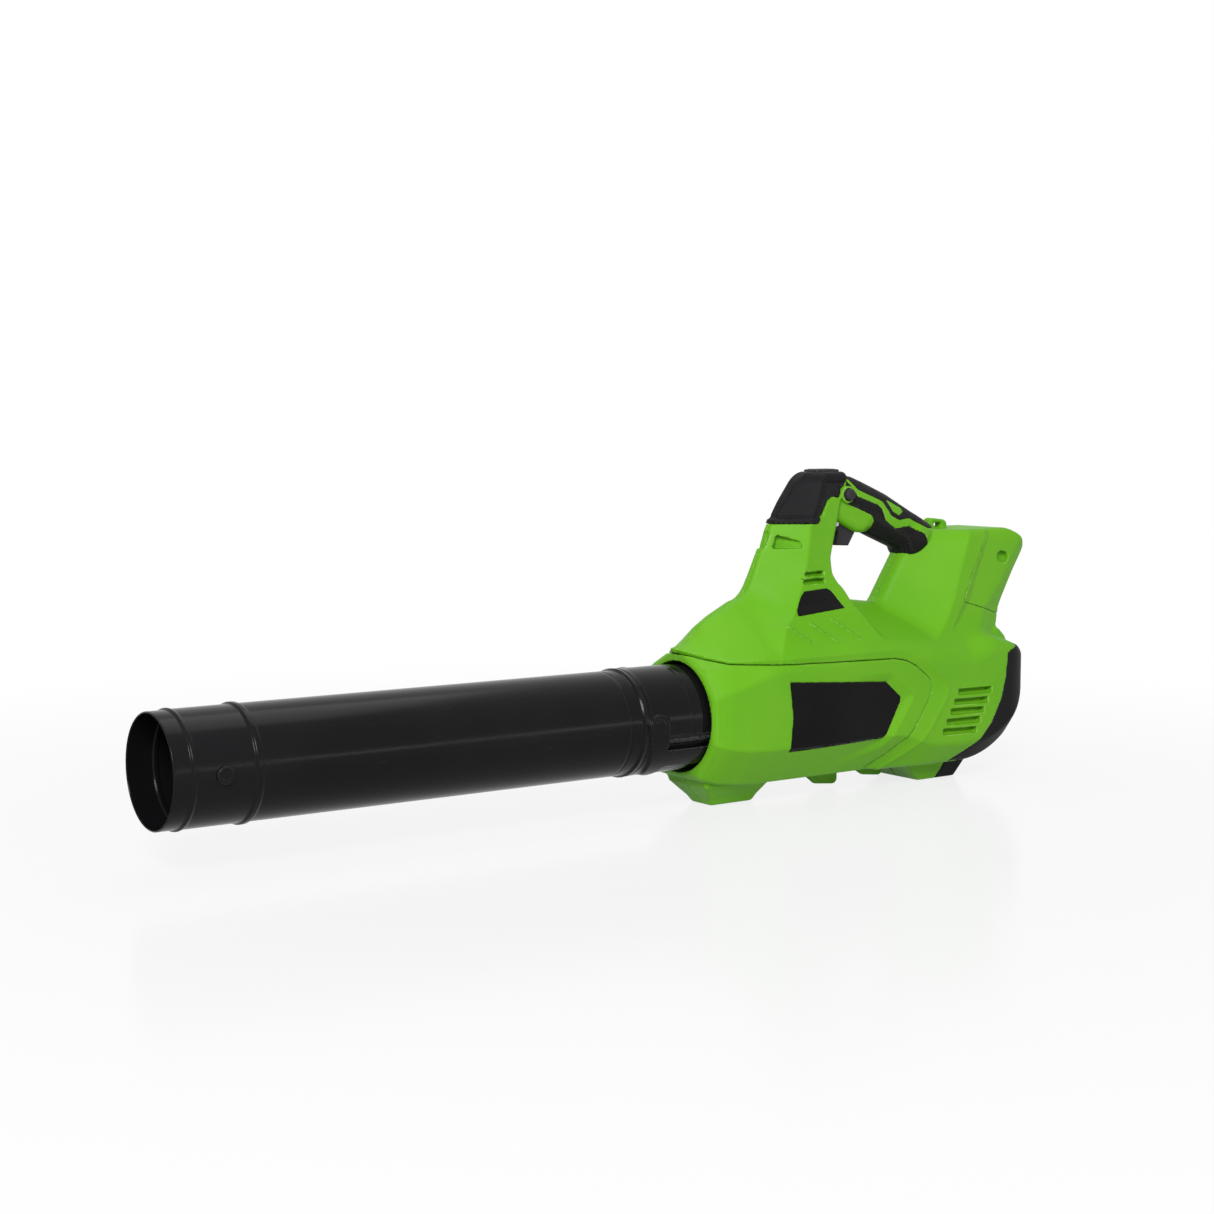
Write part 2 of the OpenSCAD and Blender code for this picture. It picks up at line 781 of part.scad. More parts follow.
module switch_body() {
    color("#2a2a2c") place() translate([207, 0, 172]) rotate([0, grip_tilt, 0]) difference() {
        cube([44, 18, 15], center = true);
        translate([0, 0, 6.5]) cube([36, 12, 3], center = true);
        for (x = [-14, 14]) rotate([90, 0, 0]) translate([x, 0, -15]) cylinder(h = 30, r = 1.6);
    }
}

module grip_left() {
    color(SOFT) moulding() place() intersection() {
        grip_shell();
        half(-1);
    }
}
module grip_right() {
    color(SOFT) moulding() place() intersection() {
        grip_shell();
        half(1);
    }
}

// Battery dock: a sloping frame with grooved rails
module dock_chamfer() {
    for (s = [-1, 1]) on_dock() translate([-24, s * dock_hw, -40]) rotate([0, 0, -s * 18])
        translate([0, s > 0 ? 0.8 : -20.8, 0]) cube([40, 20, 180]);
}
// Slot with a groove down each side, open at the top, where the battery slides in
slot_floor = 5;
module battery_slot() {
    on_dock() {
        translate([-slot_depth, -slot_hw, slot_floor]) cube([60, 2 * slot_hw, dock_height + 60]);
        for (s = [-1, 1])
            translate([-slot_depth, s > 0 ? slot_hw - 1 : -slot_hw - rail_depth, slot_floor])
                cube([6, rail_depth + 1, dock_height + 60]);
    }
}
module battery_dock() {
    color(GREEN) moulding() place() difference() {
        intersection() {
            pillar(-0.6);
            side(-60, 60) offset(delta = -seam) polygon(DOCK_REGION);
        }
        battery_slot();
        dock_chamfer();
        // Hollow in front of the slot's floor
        intersection() {
            pillar(wall);
            on_dock() translate([-slot_depth - 75, -60, -40]) cube([60, 120, 200]);
        }
        terminal_space(0.1);
        screw_holes([SCREWS[5]], screw_near);
        for (s = [-1, 1]) translate([366, s * 33, 128]) rotate([s * -90, 0, 0]) cylinder(h = 20, r = 5);
    }
}

terminal_z = 12;
module terminal_space(clear) {
    on_dock() translate([-slot_depth - 12 - clear, -17 - clear, terminal_z - clear])
        cube([12.2 + clear, 34 + 2 * clear, 22 + 2 * clear]);
}
module terminal_block() {
    color("#202022") place() difference() {
        terminal_space(0);
        on_dock() for (y = [-12, -4, 4, 12])
            translate([-slot_depth - 6, y - 0.9, terminal_z + 2]) cube([12, 1.8, 18]);
    }
}
module terminals() {
    color("#c8a24a") place() on_dock() for (y = [-12, -4, 4, 12])
        translate([-slot_depth - 5.8, y - 0.45, terminal_z + 4]) cube([12, 0.9, 14]);
}

// Intake grille: the black tail of the body, with slots between its bars
module grille_bars() {
    z_top = 34;
    rows = floor((z_top + body_bottom - 10) / grille_pitch);
    for (i = [0 : rows - 1], c = [-1, 0, 1]) {
        z = z_top - 5 - i * grille_pitch;
        translate([300, c * 27 - 11.5, z - grille_slot]) cube([150, 23, grille_slot]);
    }
}
module intake_grille() {
    color("#181818") moulding() place() difference() {
        union() {
            intersection() {
                envelope();
                side(-90, 90) grille_region(-seam);
            }
            intersection() {
                rear_foot();
                side(-90, 90) grille_region(-seam);
            }
        }
        intersection() {
            envelope(wall, 1);
            translate([200, -100, -100]) cube([300, 200, 200]);
        }
        duct_space();
        grille_bars();
        for (s = [-1, 1]) grille_screw_hole(s);
    }
}
GRILLE_SCREW = [318, 24, foot_z + 9];
module grille_screw_hole(s) {
    translate([GRILLE_SCREW[0] - 14, s * 20, -90]) cylinder(h = 13, r = 3.4, $fn = 32);
    translate([GRILLE_SCREW[0] - 14, s * 20, -90]) cylinder(h = 40, r = 1.7, $fn = 32);
}
module grille_screws() {
    color(STEEL) place() for (s = [-1, 1]) translate([GRILLE_SCREW[0] - 14, s * 20, -77]) {
        translate([0, 0, -2.2]) cylinder(h = 2.2, r = 3);
        cylinder(h = 10, r = 1.5);
    }
}

// Blow tube with its nozzle seat, two nubs, and a collar with bayonet tracks
module tube_profile() {
    x0 = -tube_len;
    b1 = x0 + bead_front;
    b2 = x0 + bead_rear;
    c0 = -collar_len;
    end = tube_insert;
    polygon([
        [tube_in_r, x0 + 0.8], [tube_in_r + 0.8, x0], [seat_r - 0.8, x0], [seat_r, x0 + 0.8],
        [seat_r, b1 - 2], [tube_r + bead_h * 0.7, b1 - 1], [tube_r + bead_h * 0.7, b1 + 1], [tube_r, b1 + 2],
        [tube_r, b2 - 3.5], [tube_r + bead_h, b2 - 2], [tube_r + bead_h, b2 + 2], [tube_r, b2 + 3.5],
        [tube_r, c0 - 1.5], [collar_r, c0], [collar_r, end - 1], [collar_r - 1, end], [tube_in_r, end]
    ]);
}
module slot_2d(a, b, r) {
    d = b - a;
    translate(a) circle(r = r, $fn = 48);
    translate(b) circle(r = r, $fn = 48);
    translate(a) rotate(atan2(d[1], d[0])) translate([0, -r]) square([norm(d), 2 * r]);
}
module track_outline(grow) {
    lane = tube_in_r * sin(lug_angle - bayonet_turn);
    r = lug_r + 0.8 + grow;
    slot_2d([lug_x, tube_r * sin(lug_angle)], [lug_x, lane], r);
    slot_2d([lug_x, lane], [tube_insert + 10, lane], r);
}
// Band of the tube's wall between two radii, under the track's outline
module track_band(r0, r1, grow) {
    intersection() {
        rotate(tilt_x) translate([0, 0, -collar_len - 5]) difference() {
            cylinder(h = collar_len + tube_insert + 5, r = r1);
            translate([0, 0, -1]) cylinder(h = collar_len + tube_insert + 7, r = r0);
        }
        side(-60, 0) track_outline(grow);
    }
}
module blow_tube() {
    color("#1d1c1e") place() difference() {
        union() {
            rotate(tilt_x) rotate_extrude($fn = 128) tube_profile();
            for (s = [-1, 1]) intersection() {
                bar([-tube_len + 40, 0], nub_r, s < 0 ? -tube_r - 2.2 : tube_r - 2, s < 0 ? -tube_r + 2 : tube_r + 2.2);
                rotate(tilt_x) translate([0, 0, -tube_len]) difference() {
                    cylinder(h = 80, r = tube_r + 3);
                    cylinder(h = 80, r = tube_r - 1);
                }
            }
            for (a = [0, 180]) rotate([a, 0, 0]) track_band(tube_r, track_r, 4);
        }
        for (a = [0, 180]) rotate([a, 0, 0]) track_band(tube_in_r - 2, collar_r + 0.1, 0);
    }
}

// Spigot that the tube slides onto, with two bayonet lugs and a flange held by the covers
spigot_front = track_front - 6;
module tube_spigot() {
    flange_x = tube_insert + 4;
    color("#202022") place() {
        rotate(tilt_x) rotate_extrude() polygon([
            [tube_in_r - fit - 2.4, spigot_front + 1], [tube_in_r - fit - 1, spigot_front],
            [tube_in_r - fit, spigot_front + 1.5], [tube_in_r - fit, flange_x], [duct_r + 6, flange_x],
            [duct_r + 6, flange_x + 3], [duct_r + duct_wall, flange_x + 3], [duct_r + duct_wall, duct_front - 0.4],
            [duct_r - 0.4, duct_front - 0.4], [duct_r - 0.4, duct_front - 6], [tube_in_r - fit - 2.4, flange_x + 6]
        ]);
        for (a = [0, 180]) rotate([a, 0, 0]) intersection() {
            rotate([-lug_angle, 0, 0]) bar([lug_x, 0], lug_r, -60, -tube_in_r + 2);
            rotate(tilt_x) translate([0, 0, lug_x - 10]) cylinder(h = 20, r = collar_r - gap);
        }
    }
}

// Duct round the fan, with guide vanes that carry the motor's pod
module vane(h, chord, camber, lean, t) {
    rotate([0, 0, lean]) linear_extrude(h) polygon([
        for (i = [0 : 8]) let (u = i / 8) [(u - 0.5) * chord, camber * sin(180 * u) + t * sin(180 * u) / 2 + 0.25],
        for (i = [8 : -1 : 0]) let (u = i / 8) [(u - 0.5) * chord, camber * sin(180 * u) - t * sin(180 * u) / 2 - 0.25]
    ]);
}
vane_chord = 34;
vane_x = motor_front + 26;
module fan_duct() {
    out_r = duct_r + duct_wall;
    color("#2b2b2d") place() {
        rotate(tilt_x) rotate_extrude() polygon([
            [duct_r, duct_front], [out_r, duct_front], [out_r, duct_rear - 10], [out_r + 5, duct_rear],
            [out_r + 3, duct_rear + 1], [duct_r, duct_rear - 9]
        ]);
        // Pod
        rotate(tilt_x) rotate_extrude() polygon([
            [hub_r - pod_wall, pod_front], [hub_r, pod_front], [hub_r, motor_rear + 1], [hub_r - pod_wall, motor_rear + 1]
        ]);
        for (i = [0 : vane_n - 1]) rotate([i * 360 / vane_n, 0, 0])
            translate([vane_x, 0, hub_r - 0.6]) vane(duct_r - hub_r + 1.2, vane_chord, 4, 14, 2.2);
    }
}
// Cone that closes the pod towards the tube
module tail_cone() {
    cone_len = 52;
    color("#2b2b2d") place() rotate(tilt_x) rotate_extrude() polygon([
        [0, pod_front - cone_len],
        for (i = [1 : 8]) [hub_r * sin(i * 90 / 8), pod_front - cone_len * cos(i * 90 / 8)],
        [hub_r - pod_wall - 0.05, pod_front], [hub_r - pod_wall - 0.05, pod_front + 4],
        [hub_r - pod_wall - 2, pod_front + 4], [hub_r - pod_wall - 2, pod_front],
        [0, pod_front - 8]
    ]);
}

// Motor: a can with magnets' wall, an end cap, a rotor on a shaft in two bearings
can_wall = 2;
module motor_can() {
    color(STEEL) place() rotate(tilt_x) rotate_extrude() polygon([
        [bearing_r, motor_front], [motor_r, motor_front], [motor_r, motor_rear - cap_len],
        [motor_r - can_wall, motor_rear - cap_len], [motor_r - can_wall, motor_front + 5],
        [bearing_r, motor_front + 5]
    ]);
    // The can is centred in the pod by a light ring
    color(STEEL) place() rotate(tilt_x) translate([0, 0, motor_front + 8]) difference() {
        cylinder(h = 6, r = hub_r - pod_wall - 0.05);
        translate([0, 0, -1]) cylinder(h = 8, r = motor_r - 0.5);
    }
}
module motor_end_cap() {
    color("#3a3a3c") place() rotate(tilt_x) rotate_extrude() polygon([
        [bearing_r, motor_rear - 5], [motor_r - can_wall - 4, motor_rear - 5],
        [motor_r - can_wall - 4, motor_rear - cap_len], [motor_r, motor_rear - cap_len],
        [motor_r, motor_rear], [bearing_r, motor_rear]
    ]);
}
module rotor() {
    core_r = motor_r - can_wall - 2.4;
    slots = 7;
    color("#8c6a3a") place() rotate(tilt_x) translate([0, 0, motor_front + 11])
        difference() {
            cylinder(h = motor_len - cap_len - 19, r = core_r);
            translate([0, 0, -1]) cylinder(h = motor_len, r = shaft_r);
            for (i = [0 : slots - 1]) rotate([0, 0, i * 360 / slots]) translate([core_r - 5, -1.2, -1])
                cube([8, 2.4, motor_len]);
        }
}
shaft_end = fan_x + hub_len + 6;
module motor_shaft() {
    color(STEEL) place() rotate(tilt_x) translate([0, 0, motor_front - 3])
        cylinder(h = shaft_end - motor_front + 3, r = shaft_r);
}
module bearing(x) {
    color("#c9ccd0") place() rotate(tilt_x) translate([0, 0, x]) difference() {
        cylinder(h = 5, r = bearing_r);
        translate([0, 0, -1]) cylinder(h = 7, r = shaft_r + fit);
    }
}
module front_bearing() {
    bearing(motor_front);
}
module rear_bearing() {
    bearing(motor_rear - 5);
}

// Axial fan: a hub with a domed nose and twisted blades
blade_chord = 30;
blade_root_angle = 48;
blade_twist = 24;
module blade() {
    span = duct_r - tip_gap - hub_r + 1;
    translate([0, 0, hub_r - 1]) rotate([0, 0, blade_root_angle])
        linear_extrude(span, twist = blade_twist, slices = 5, $fn = 12) polygon([
            for (i = [0 : 4]) let (u = i / 4) [(u - 0.5) * blade_chord, 3.4 * sin(180 * u) + 0.4 + sin(180 * u)],
            for (i = [4 : -1 : 0]) let (u = i / 4) [(u - 0.5) * blade_chord, 3.4 * sin(180 * u) - 0.4 - 0.4 * sin(180 * u)]
        ]);
}
module fan() {
    color("#303033") place() {
        rotate(tilt_x) rotate_extrude() polygon([
            [shaft_r, fan_x], [hub_r, fan_x], [hub_r, fan_x + hub_len - 8], [hub_r - 2, fan_x + hub_len - 3],
            [hub_r - 6, fan_x + hub_len], [shaft_r, fan_x + hub_len]
        ]);
        for (i = [0 : blade_n - 1]) rotate([i * 360 / blade_n, 0, 0])
            translate([fan_x + 12, 0, 0]) blade();
    }
}
module fan_nut() {
    color(STEEL) place() rotate(tilt_x) translate([0, 0, fan_x + hub_len]) difference() {
        cylinder(h = 4, r = 4.6, $fn = 6);
        translate([0, 0, -1]) cylinder(h = 6, r = shaft_r);
    }
}

// Board on the post's floor
board_at = [142, 0, floor_z + 0.2];
module control_board() {
    color("#2f5d3a") place() translate(board_at) {
        translate([-24, -15, 0]) cube([48, 30, 1.6]);
        for (x = [-16, -4, 8]) translate([x, -10, 1.6]) cube([8, 6, 2.2]);
    }
}

module housing_screws() {
    color(STEEL) place() {
        for (s = SCREWS) screw(s, screw_near);
        for (s = COVER_SCREWS) screw(s, screw_near);
    }
}

blow_tube();
tube_spigot();
cover_left();
cover_right();
side_badge_left();
side_badge_right();
housing_left();
housing_right();
post_badge_left();
post_badge_right();
handle_cap();
turbo_button();
turbo_spring();
lock_button();
trigger();
trigger_pin();
switch_body();
grip_left();
grip_right();
battery_dock();
terminal_block();
terminals();
intake_grille();
fan_duct();
tail_cone();
motor_can();
motor_end_cap();
rotor();
motor_shaft();
front_bearing();
rear_bearing();
fan();
fan_nut();
control_board();
housing_screws();
grille_screws();
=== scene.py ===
"""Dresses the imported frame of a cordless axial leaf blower: moulded skins, tube, grip and stage.

A form is a field over points (u, y, z) in millimetres, below 0 inside the material: u runs back from the
rim of the body's mouth, and y and z are measured from the tube's axis. Tables and side views use the same
measures, and skin() turns a field into a closed mesh."""

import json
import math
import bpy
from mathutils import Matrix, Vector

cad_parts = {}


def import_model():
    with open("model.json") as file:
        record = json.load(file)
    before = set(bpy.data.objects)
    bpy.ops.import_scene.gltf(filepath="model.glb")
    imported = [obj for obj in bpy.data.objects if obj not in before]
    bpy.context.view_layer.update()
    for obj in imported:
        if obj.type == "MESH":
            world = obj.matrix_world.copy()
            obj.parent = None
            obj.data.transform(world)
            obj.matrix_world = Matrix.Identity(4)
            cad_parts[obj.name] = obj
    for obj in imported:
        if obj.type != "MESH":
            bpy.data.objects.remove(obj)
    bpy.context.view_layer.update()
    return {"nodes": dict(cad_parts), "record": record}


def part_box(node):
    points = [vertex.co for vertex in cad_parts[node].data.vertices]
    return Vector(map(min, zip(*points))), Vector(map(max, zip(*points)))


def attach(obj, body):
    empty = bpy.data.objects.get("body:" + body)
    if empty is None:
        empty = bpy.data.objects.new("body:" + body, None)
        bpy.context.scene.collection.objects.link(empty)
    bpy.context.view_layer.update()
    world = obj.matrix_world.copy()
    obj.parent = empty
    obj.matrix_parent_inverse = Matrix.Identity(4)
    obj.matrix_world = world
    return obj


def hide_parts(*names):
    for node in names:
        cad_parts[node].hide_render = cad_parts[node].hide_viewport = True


bl_info = {
    "name": "Leaf blower looks",
    "version": (1, 0, 0),
    "blender": (4, 5, 0),
    "location": "3D View > Sidebar > Blower",
    "description": "Builds the visible mouldings and finishes of a leaf blower round its frame",
    "category": "Object",
}

from functools import partial

import bpy
import numpy as np
from mathutils import Vector

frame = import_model()

# ---------------------------------------------------------------- measures, in millimetres
MM = 0.001
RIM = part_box("cover_left")[0].x / MM
AXIS = frame["record"]["mounts"][0]["pos_m"][2] / MM
HALF_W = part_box("housing_right")[1].y / MM
TUBE_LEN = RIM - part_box("blow_tube")[0].x / MM
TUBE_R = frame["record"]["mounts"][0]["dims"]["r_mm"]
BARREL_R = TUBE_R + 0.4
BORE_R = BARREL_R - 2
DUCT_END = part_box("fan_duct")[1].x / MM - RIM
TURBO_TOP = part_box("turbo_button")[1].z / MM - AXIS
LOCK_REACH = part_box("lock_button")[1].y / MM
TAIL_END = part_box("intake_grille")[1].x / MM - RIM
FOOT_Z = -AXIS
BOTTOM = 1 - HALF_W  # height of the keel's underside
TAIL_X = 300.0  # where the tail starts to round off
TAIL_Z = 22.0  # height at which its floor ends
PLAN_R = 36.0  # corner radius of the tail seen from above
LIP_X = -2.3  # front edge of the housing over the mouth
COVER_STEP = 2.6  # how far the flank lies below the ridge line
PILLAR_TOP = 155.0
HOOD_TOP = 211.0
HEAD_TOP = 207.0  # top of the green head under the hood
FIT = 0.15  # gap between neighbouring mouldings
PARTING = 0.08  # half the groove between the two halves
INLAY_DEPTH = 0.6
INLAY_PROUD = 0.3
DUCT_ROOM_R = 51.4  # radius kept free round the duct
FLANGE_R = 55.6  # radius of the groove for the duct's flange
MOUTH_R = 48.6  # bore of the covers round the spigot
SHELL = 2.8  # wall of the tail
LOCK_R = 5.5  # radius of the lock bolt
LOCK_RING_R = 7.7  # radius of the green ring round it
GRIP_TILT = math.radians(24)

# Body rows: station, ridge height and radius, half width, shoulder height and radius, floor height
BODY_ROWS = [
    [0, 60.5, 20, 54, 12, 36, -52.5], [10, 64, 18, 57.2, 16, 34, -56], [18, 71, 16, 59, 19, 32, -58.3],
    [24, 78, 15, 60, 21, 31, -59.3], [38, 87, 13, 61.6, 25, 29, -61], [60, 98, 11, 62.5, 32, 28, BOTTOM],
    [86, 105, 10, 62.8, 37, 28, BOTTOM], [150, 99, 13, 63, 39, 28, BOTTOM],
    [205, 92, 17, 63, 38, 28, BOTTOM], [250, 87, 22, 63, 34, 28, BOTTOM],
    [TAIL_X, 72, 26, 63, 27, 28, BOTTOM],
]
# Post and pillar rows: height, then station and half width of the nose, of the shoulder and of the rear
POST_ROWS = [
    [60, 56, 12, 76, 52, 196, 50], [76, 62, 8, 84, 46, 188, 44], [86, 66, 7.5, 98, 41, 180, 39],
    [94, 70, 7.3, 104, 37, 174, 35], [106, 76, 7, 112, 33, 168.5, 30], [112, 79, 6.8, 116, 31, 162.5, 28],
    [120, 83, 6.4, 120, 29, 158, 26.5], [134, 89, 5.8, 125, 27, 158, 24], [165, 104.5, 6, 131, 24, 168, 21],
    [184, 117, 7, 141, 22.5, 173, 20], [204, 133, 8, 149, 20, 184, 17], [211, 142, 8, 157, 17.5, 184, 14],
]
PILLAR_ROWS = [
    [36, 206, 30, 250, 54, 340, 54], [54, 212, 24, 262, 50, 351, 50], [66, 218, 19, 274, 47.5, 357.5, 47],
    [72, 222, 17, 280, 46.5, 361, 46], [92, 233, 14, 292, 44, 372, 43], [112, 246, 14, 300, 41.5, 383, 41],
    [136, 262, 14, 310, 40, 399, 40], [149, 271, 14, 316, 38.5, 393, 38], [155, 284, 14, 320, 34, 376, 34],
]
# Grip rows: distance along the slanted line, height square to it, half height, half width
GRIP_ROWS = [
    [85, 247.3, 18.5, 16.5], [98, 248.6, 20.4, 17.3], [114, 248.8, 21.2, 17.5], [143, 249.6, 21.5, 17.5],
    [164, 249.5, 20.4, 17.5], [179, 249.4, 19.6, 18], [183, 247.8, 21, 20], [187, 246.4, 22.2, 22],
    [193, 246.4, 21.8, 22.4], [199, 248.6, 19.2, 21], [204, 252.2, 15.4, 18], [208, 254.4, 12.8, 15.5],
    [218, 255, 11, 13],
]

# Side views, as (station, height) round each outline
BOSS = [(160, 190), (164, 170), (175, 166), (198, 155), (207, 154), (215, 159), (217, 168), (198, 184)]
CAP_EDGE = [(90, 165), (142, 165), (148, 172), (156, 185), (162, 188.5), (171, 187), (174, 191),
            (180, 200), (184, 207), (184, 230), (90, 230)]
COVER_EDGE = [(-40, 58), (-4, 56.5), (12, 51), (26, 47.6), (67, 45.6), (205, 42.4), (218, 39.8), (230, 33.8),
              (241, 26), (248, 19), (249.5, 12), (247, 4), (228, -23), (205, -45), (188, -56),
              (174, -70), (174, -100), (-40, -100)]
RIDGE_EDGE = [(-40, 62), (-4, 60), (12, 54), (26, 50.6), (67, 50.4), (208, 51), (224, 47.5), (238, 40),
              (252, 29), (266, 19), (269.5, 12), (268, 4), (247, -25), (224, -48), (206, -60), (196, -75),
              (196, -100), (-40, -100)]
TAIL_EDGE = [(365, 80), (364, 52), (362, 43.5), (347.5, 39.3), (346.4, 30), (344.6, 15.3), (339.4, -3.7),
             (327, -25.5), (311.5, -41.2), (301.6, -47.6), (294, -52.8), (288, -56.5), (283, -60), (298, -60),
             (288, FOOT_Z - 1), (450, FOOT_Z - 1), (450, 80)]
DOCK_REGION = [(346, 170), (344.5, 155), (307, 90.5), (308.6, 87.6), (340, 79), (372, 70), (420, 57),
               (420, 170)]
RECESS_EDGE = [(346, 175), (345, 157), (306.6, 89.5), (290, 65), (270, 40), (430, 40), (430, 175)]
FLAP = [(330, 44), (352, 61), (357, 59.6), (371.5, 46), (369, 38), (330, 38)]

# Two points on the dock's face, then the battery's slot behind it: half width, depth and lower end, and
# the half width and depth of the rails' grooves
DOCK_FOOT = (361.0, 70.0)
DOCK_TOP = (397.0, 135.0)
SLOT_HALF, SLOT_DEEP, SLOT_END, GROOVE_HALF, GROOVE_DEEP = 27, 16, 5, 31, 13

# Side views of the grip: its green bands and window, what lies under it, and where the overmould ends
BAND = [(181, 216), (184.5, 205), (196, 188), (222, 179.5), (226, 176), (231, 165.5), (244, 157),
        (260, 159), (277, 151.5), (280, 146), (287, 139), (300, 140), (296, 156), (285, 156.5),
        (279, 158.5), (262, 166.5), (248, 165), (238, 169.5), (229, 182), (226, 184), (197, 194.5),
        (188.5, 205), (184.5, 216)]
WINDOW = [(234, 184.5), (254, 176.5), (256, 172.5), (248, 169.3), (240.5, 173)]
UNDER = [(140, 200), (172, 186), (186, 180), (198, 176), (215, 170), (218, 165), (214, 120), (140, 120)]
GRIP_LIMIT = [(184, 230), (184, 207), (180, 200), (174, 191), (172, 180), (186, 140), (264, 110),
              (288, 142), (296, 160), (296, 230)]

# Side views of the inlays and of the hollow round the cover's one, and the middle lines of the slanting ribs
POST_BADGE = [(100.5, 84.5), (113, 102), (118.5, 106), (146.5, 107.4), (151.5, 104.6), (162.5, 89)]
SIDE_BADGE = [(78, 30.5), (194, 22.5), (213, 7), (212, 2), (196, -25), (191, -29.5), (79, -32), (82, -1)]
PAD_EDGE = [(120, 39), (163, 31.5), (197.3, 29.6), (201, 28.5), (224, 10), (225.5, 6), (224, 1), (197, -34),
            (193, -38), (120, -60)]
SLASHES = [((88, 77), (108, 63)), ((115.5, 78), (139, 61.5)), ((141.5, 80.5), (168, 61.5))]

# Side view of the trigger, of the opening it swings in, and the place of its pin
TRIGGER = [(171, 168.5), (179, 168.5), (197, 163), (203.4, 160.5), (203.4, 157.2), (194.6, 142.6),
           (180, 143.3), (180.5, 150), (182, 156), (171.5, 158.5)]
TRIGGER_WELL = [(168.5, 172), (206.5, 168), (206.5, 150), (190, 136), (172, 138), (168.5, 155)]
TRIGGER_PIN = (176, 163)

# Scoop on each side of the nose: station and half width where it starts, turn, floor, roof and length
SCOOP_AT, SCOOP_TURN, SCOOP_FLOOR, SCOOP_ROOF, SCOOP_LONG = (97.5, 6), math.radians(32), 143, 157.9, 31

# Foot rows: height, front station, rear station, half width
FRONT_FOOT = [(FOOT_Z, 28, 75, 14), (-74, 24, 78, 17), (-61, 12, 85, 27), (-46, 6, 90, 28)]
REAR_FOOT = [(FOOT_Z, 266, 314, 27), (-62, 246, 324, 33), (-46, 242, 330, 34)]
CAP_PANEL = [(134, 155), (145.5, 184), (149.5, 190), (154.5, 203), (192, 203), (192, 155)]
LOCK_AT = (182.0, 190.0)
SWITCH_AT = (207, 172)
NUB_X = 40 - TUBE_LEN  # station of the nubs near the tube's mouth
LUG_R = 44.6  # radius at which the bayonet lugs run
LUG_TURN = math.radians(2.5 - 23)  # the twist to open, less the play of a lug

# Turbo pad: station of its middle, half length, half width and the floor of its shaft
TURBO_X, TURBO_LONG, TURBO_WIDE, TURBO_FLOOR = 166.0, 15, 10, 196

# Screw wells: station, height and the half width at which each one starts
SCREWS = [(128, 152, 17), (130, 82, 40), (292, 104, 34), (268, 62, 46), (228, -56.5, 40), (322, 62, 42)]
COVER_SCREWS = [(56, -56, 28), (150, -56.5, 38), (228, -56.5, 40)]


# ---------------------------------------------------------------- distances
def low(a, b, soft=0.0):
    """Union of two fields: the lower one, with a fillet where they differ by less than soft."""
    if soft <= 0:
        return np.minimum(a, b)
    h = np.maximum(soft - np.abs(a - b), 0) / soft
    return np.minimum(a, b) - h * h * soft / 4


def high(a, b, soft=0.0):
    """Overlap of two fields: the higher one, with an edge rounded where they differ by less than soft."""
    return -low(-a, -b, soft)


def cut(a, b, soft=0.0):
    """Field a without what lies inside field b."""
    return high(a, -b, soft)


def outline(points, u, z):
    """Signed distance in the side view to a polygon: the distance to its nearest edge, negative inside,
    where the sign flips at each edge that a ray along the station axis crosses."""
    p = np.array(points, float)
    q = np.roll(p, -1, axis=0)
    best, sign = None, None
    for (ax, az), (bx, bz) in zip(p, q):
        ex, ez = bx - ax, bz - az
        wx, wz = u - ax, z - az
        t = np.clip((wx * ex + wz * ez) / (ex * ex + ez * ez), 0, 1)
        d = (wx - ex * t) ** 2 + (wz - ez * t) ** 2
        above, below = z >= az, z < bz
        left = ex * wz > ez * wx
        flip = (above & below & left) | (~above & ~below & ~left)
        best = d if best is None else np.minimum(best, d)
        sign = np.where(flip, -1.0, 1.0) if sign is None else np.where(flip, -sign, sign)
    return sign * np.sqrt(best)


def capsule(u, z, a, b, r):
    """Distance in the side view to the line from a to b, less the radius."""
    ex, ez = b[0] - a[0], b[1] - a[1]
    t = np.clip(((u - a[0]) * ex + (z - a[1]) * ez) / max(ex * ex + ez * ez, 1e-9), 0, 1)
    return np.hypot(u - a[0] - ex * t, z - a[1] - ez * t) - r


def block(x, y, z, lo, hi, r=0.0):
    """Distance to a box with rounded edges: how far the point lies outside each pair of faces, combined."""
    d = [np.abs(v - (a + b) / 2) - (b - a) / 2 + r for v, a, b in zip((x, y, z), lo, hi)]
    outside = np.sqrt(sum(np.maximum(v, 0) ** 2 for v in d))
    return outside + np.minimum(np.maximum(np.maximum(d[0], d[1]), d[2]), 0) - r


def ease(t):
    """0 below 0, 1 above 1, with a smooth rise between."""
    t = np.clip(t, 0, 1)
    return t * t * (3 - 2 * t)


def bump(t, middle, width):
    """Bell of height 1 at the middle, down to 1/e at the width on either side."""
    return np.exp(-(((t - middle) / width) ** 2))


def dense(rows, step, soft):
    """Rows drawn out at even stations and averaged over a bell of the given width, ends kept straight."""
    rows = np.array(rows, float)
    s = np.arange(rows[0, 0], rows[-1, 0] + step / 2, step)
    cols = np.stack([np.interp(s, rows[:, 0], rows[:, k]) for k in range(1, rows.shape[1])], 1)
    n = max(1, int(soft / step))
    bell = np.hanning(2 * n + 3)[1:-1]
    bell /= bell.sum()
    pad = len(bell) // 2
    first = cols[:1] - (cols[1:2] - cols[:1]) * np.arange(pad, 0, -1)[:, None]
    last = cols[-1:] + (cols[-1:] - cols[-2:-1]) * np.arange(1, pad + 1)[:, None]
    wide = np.concatenate([first, cols, last])
    return s, np.stack([np.convolve(wide[:, k], bell, "valid") for k in range(cols.shape[1])], 1)


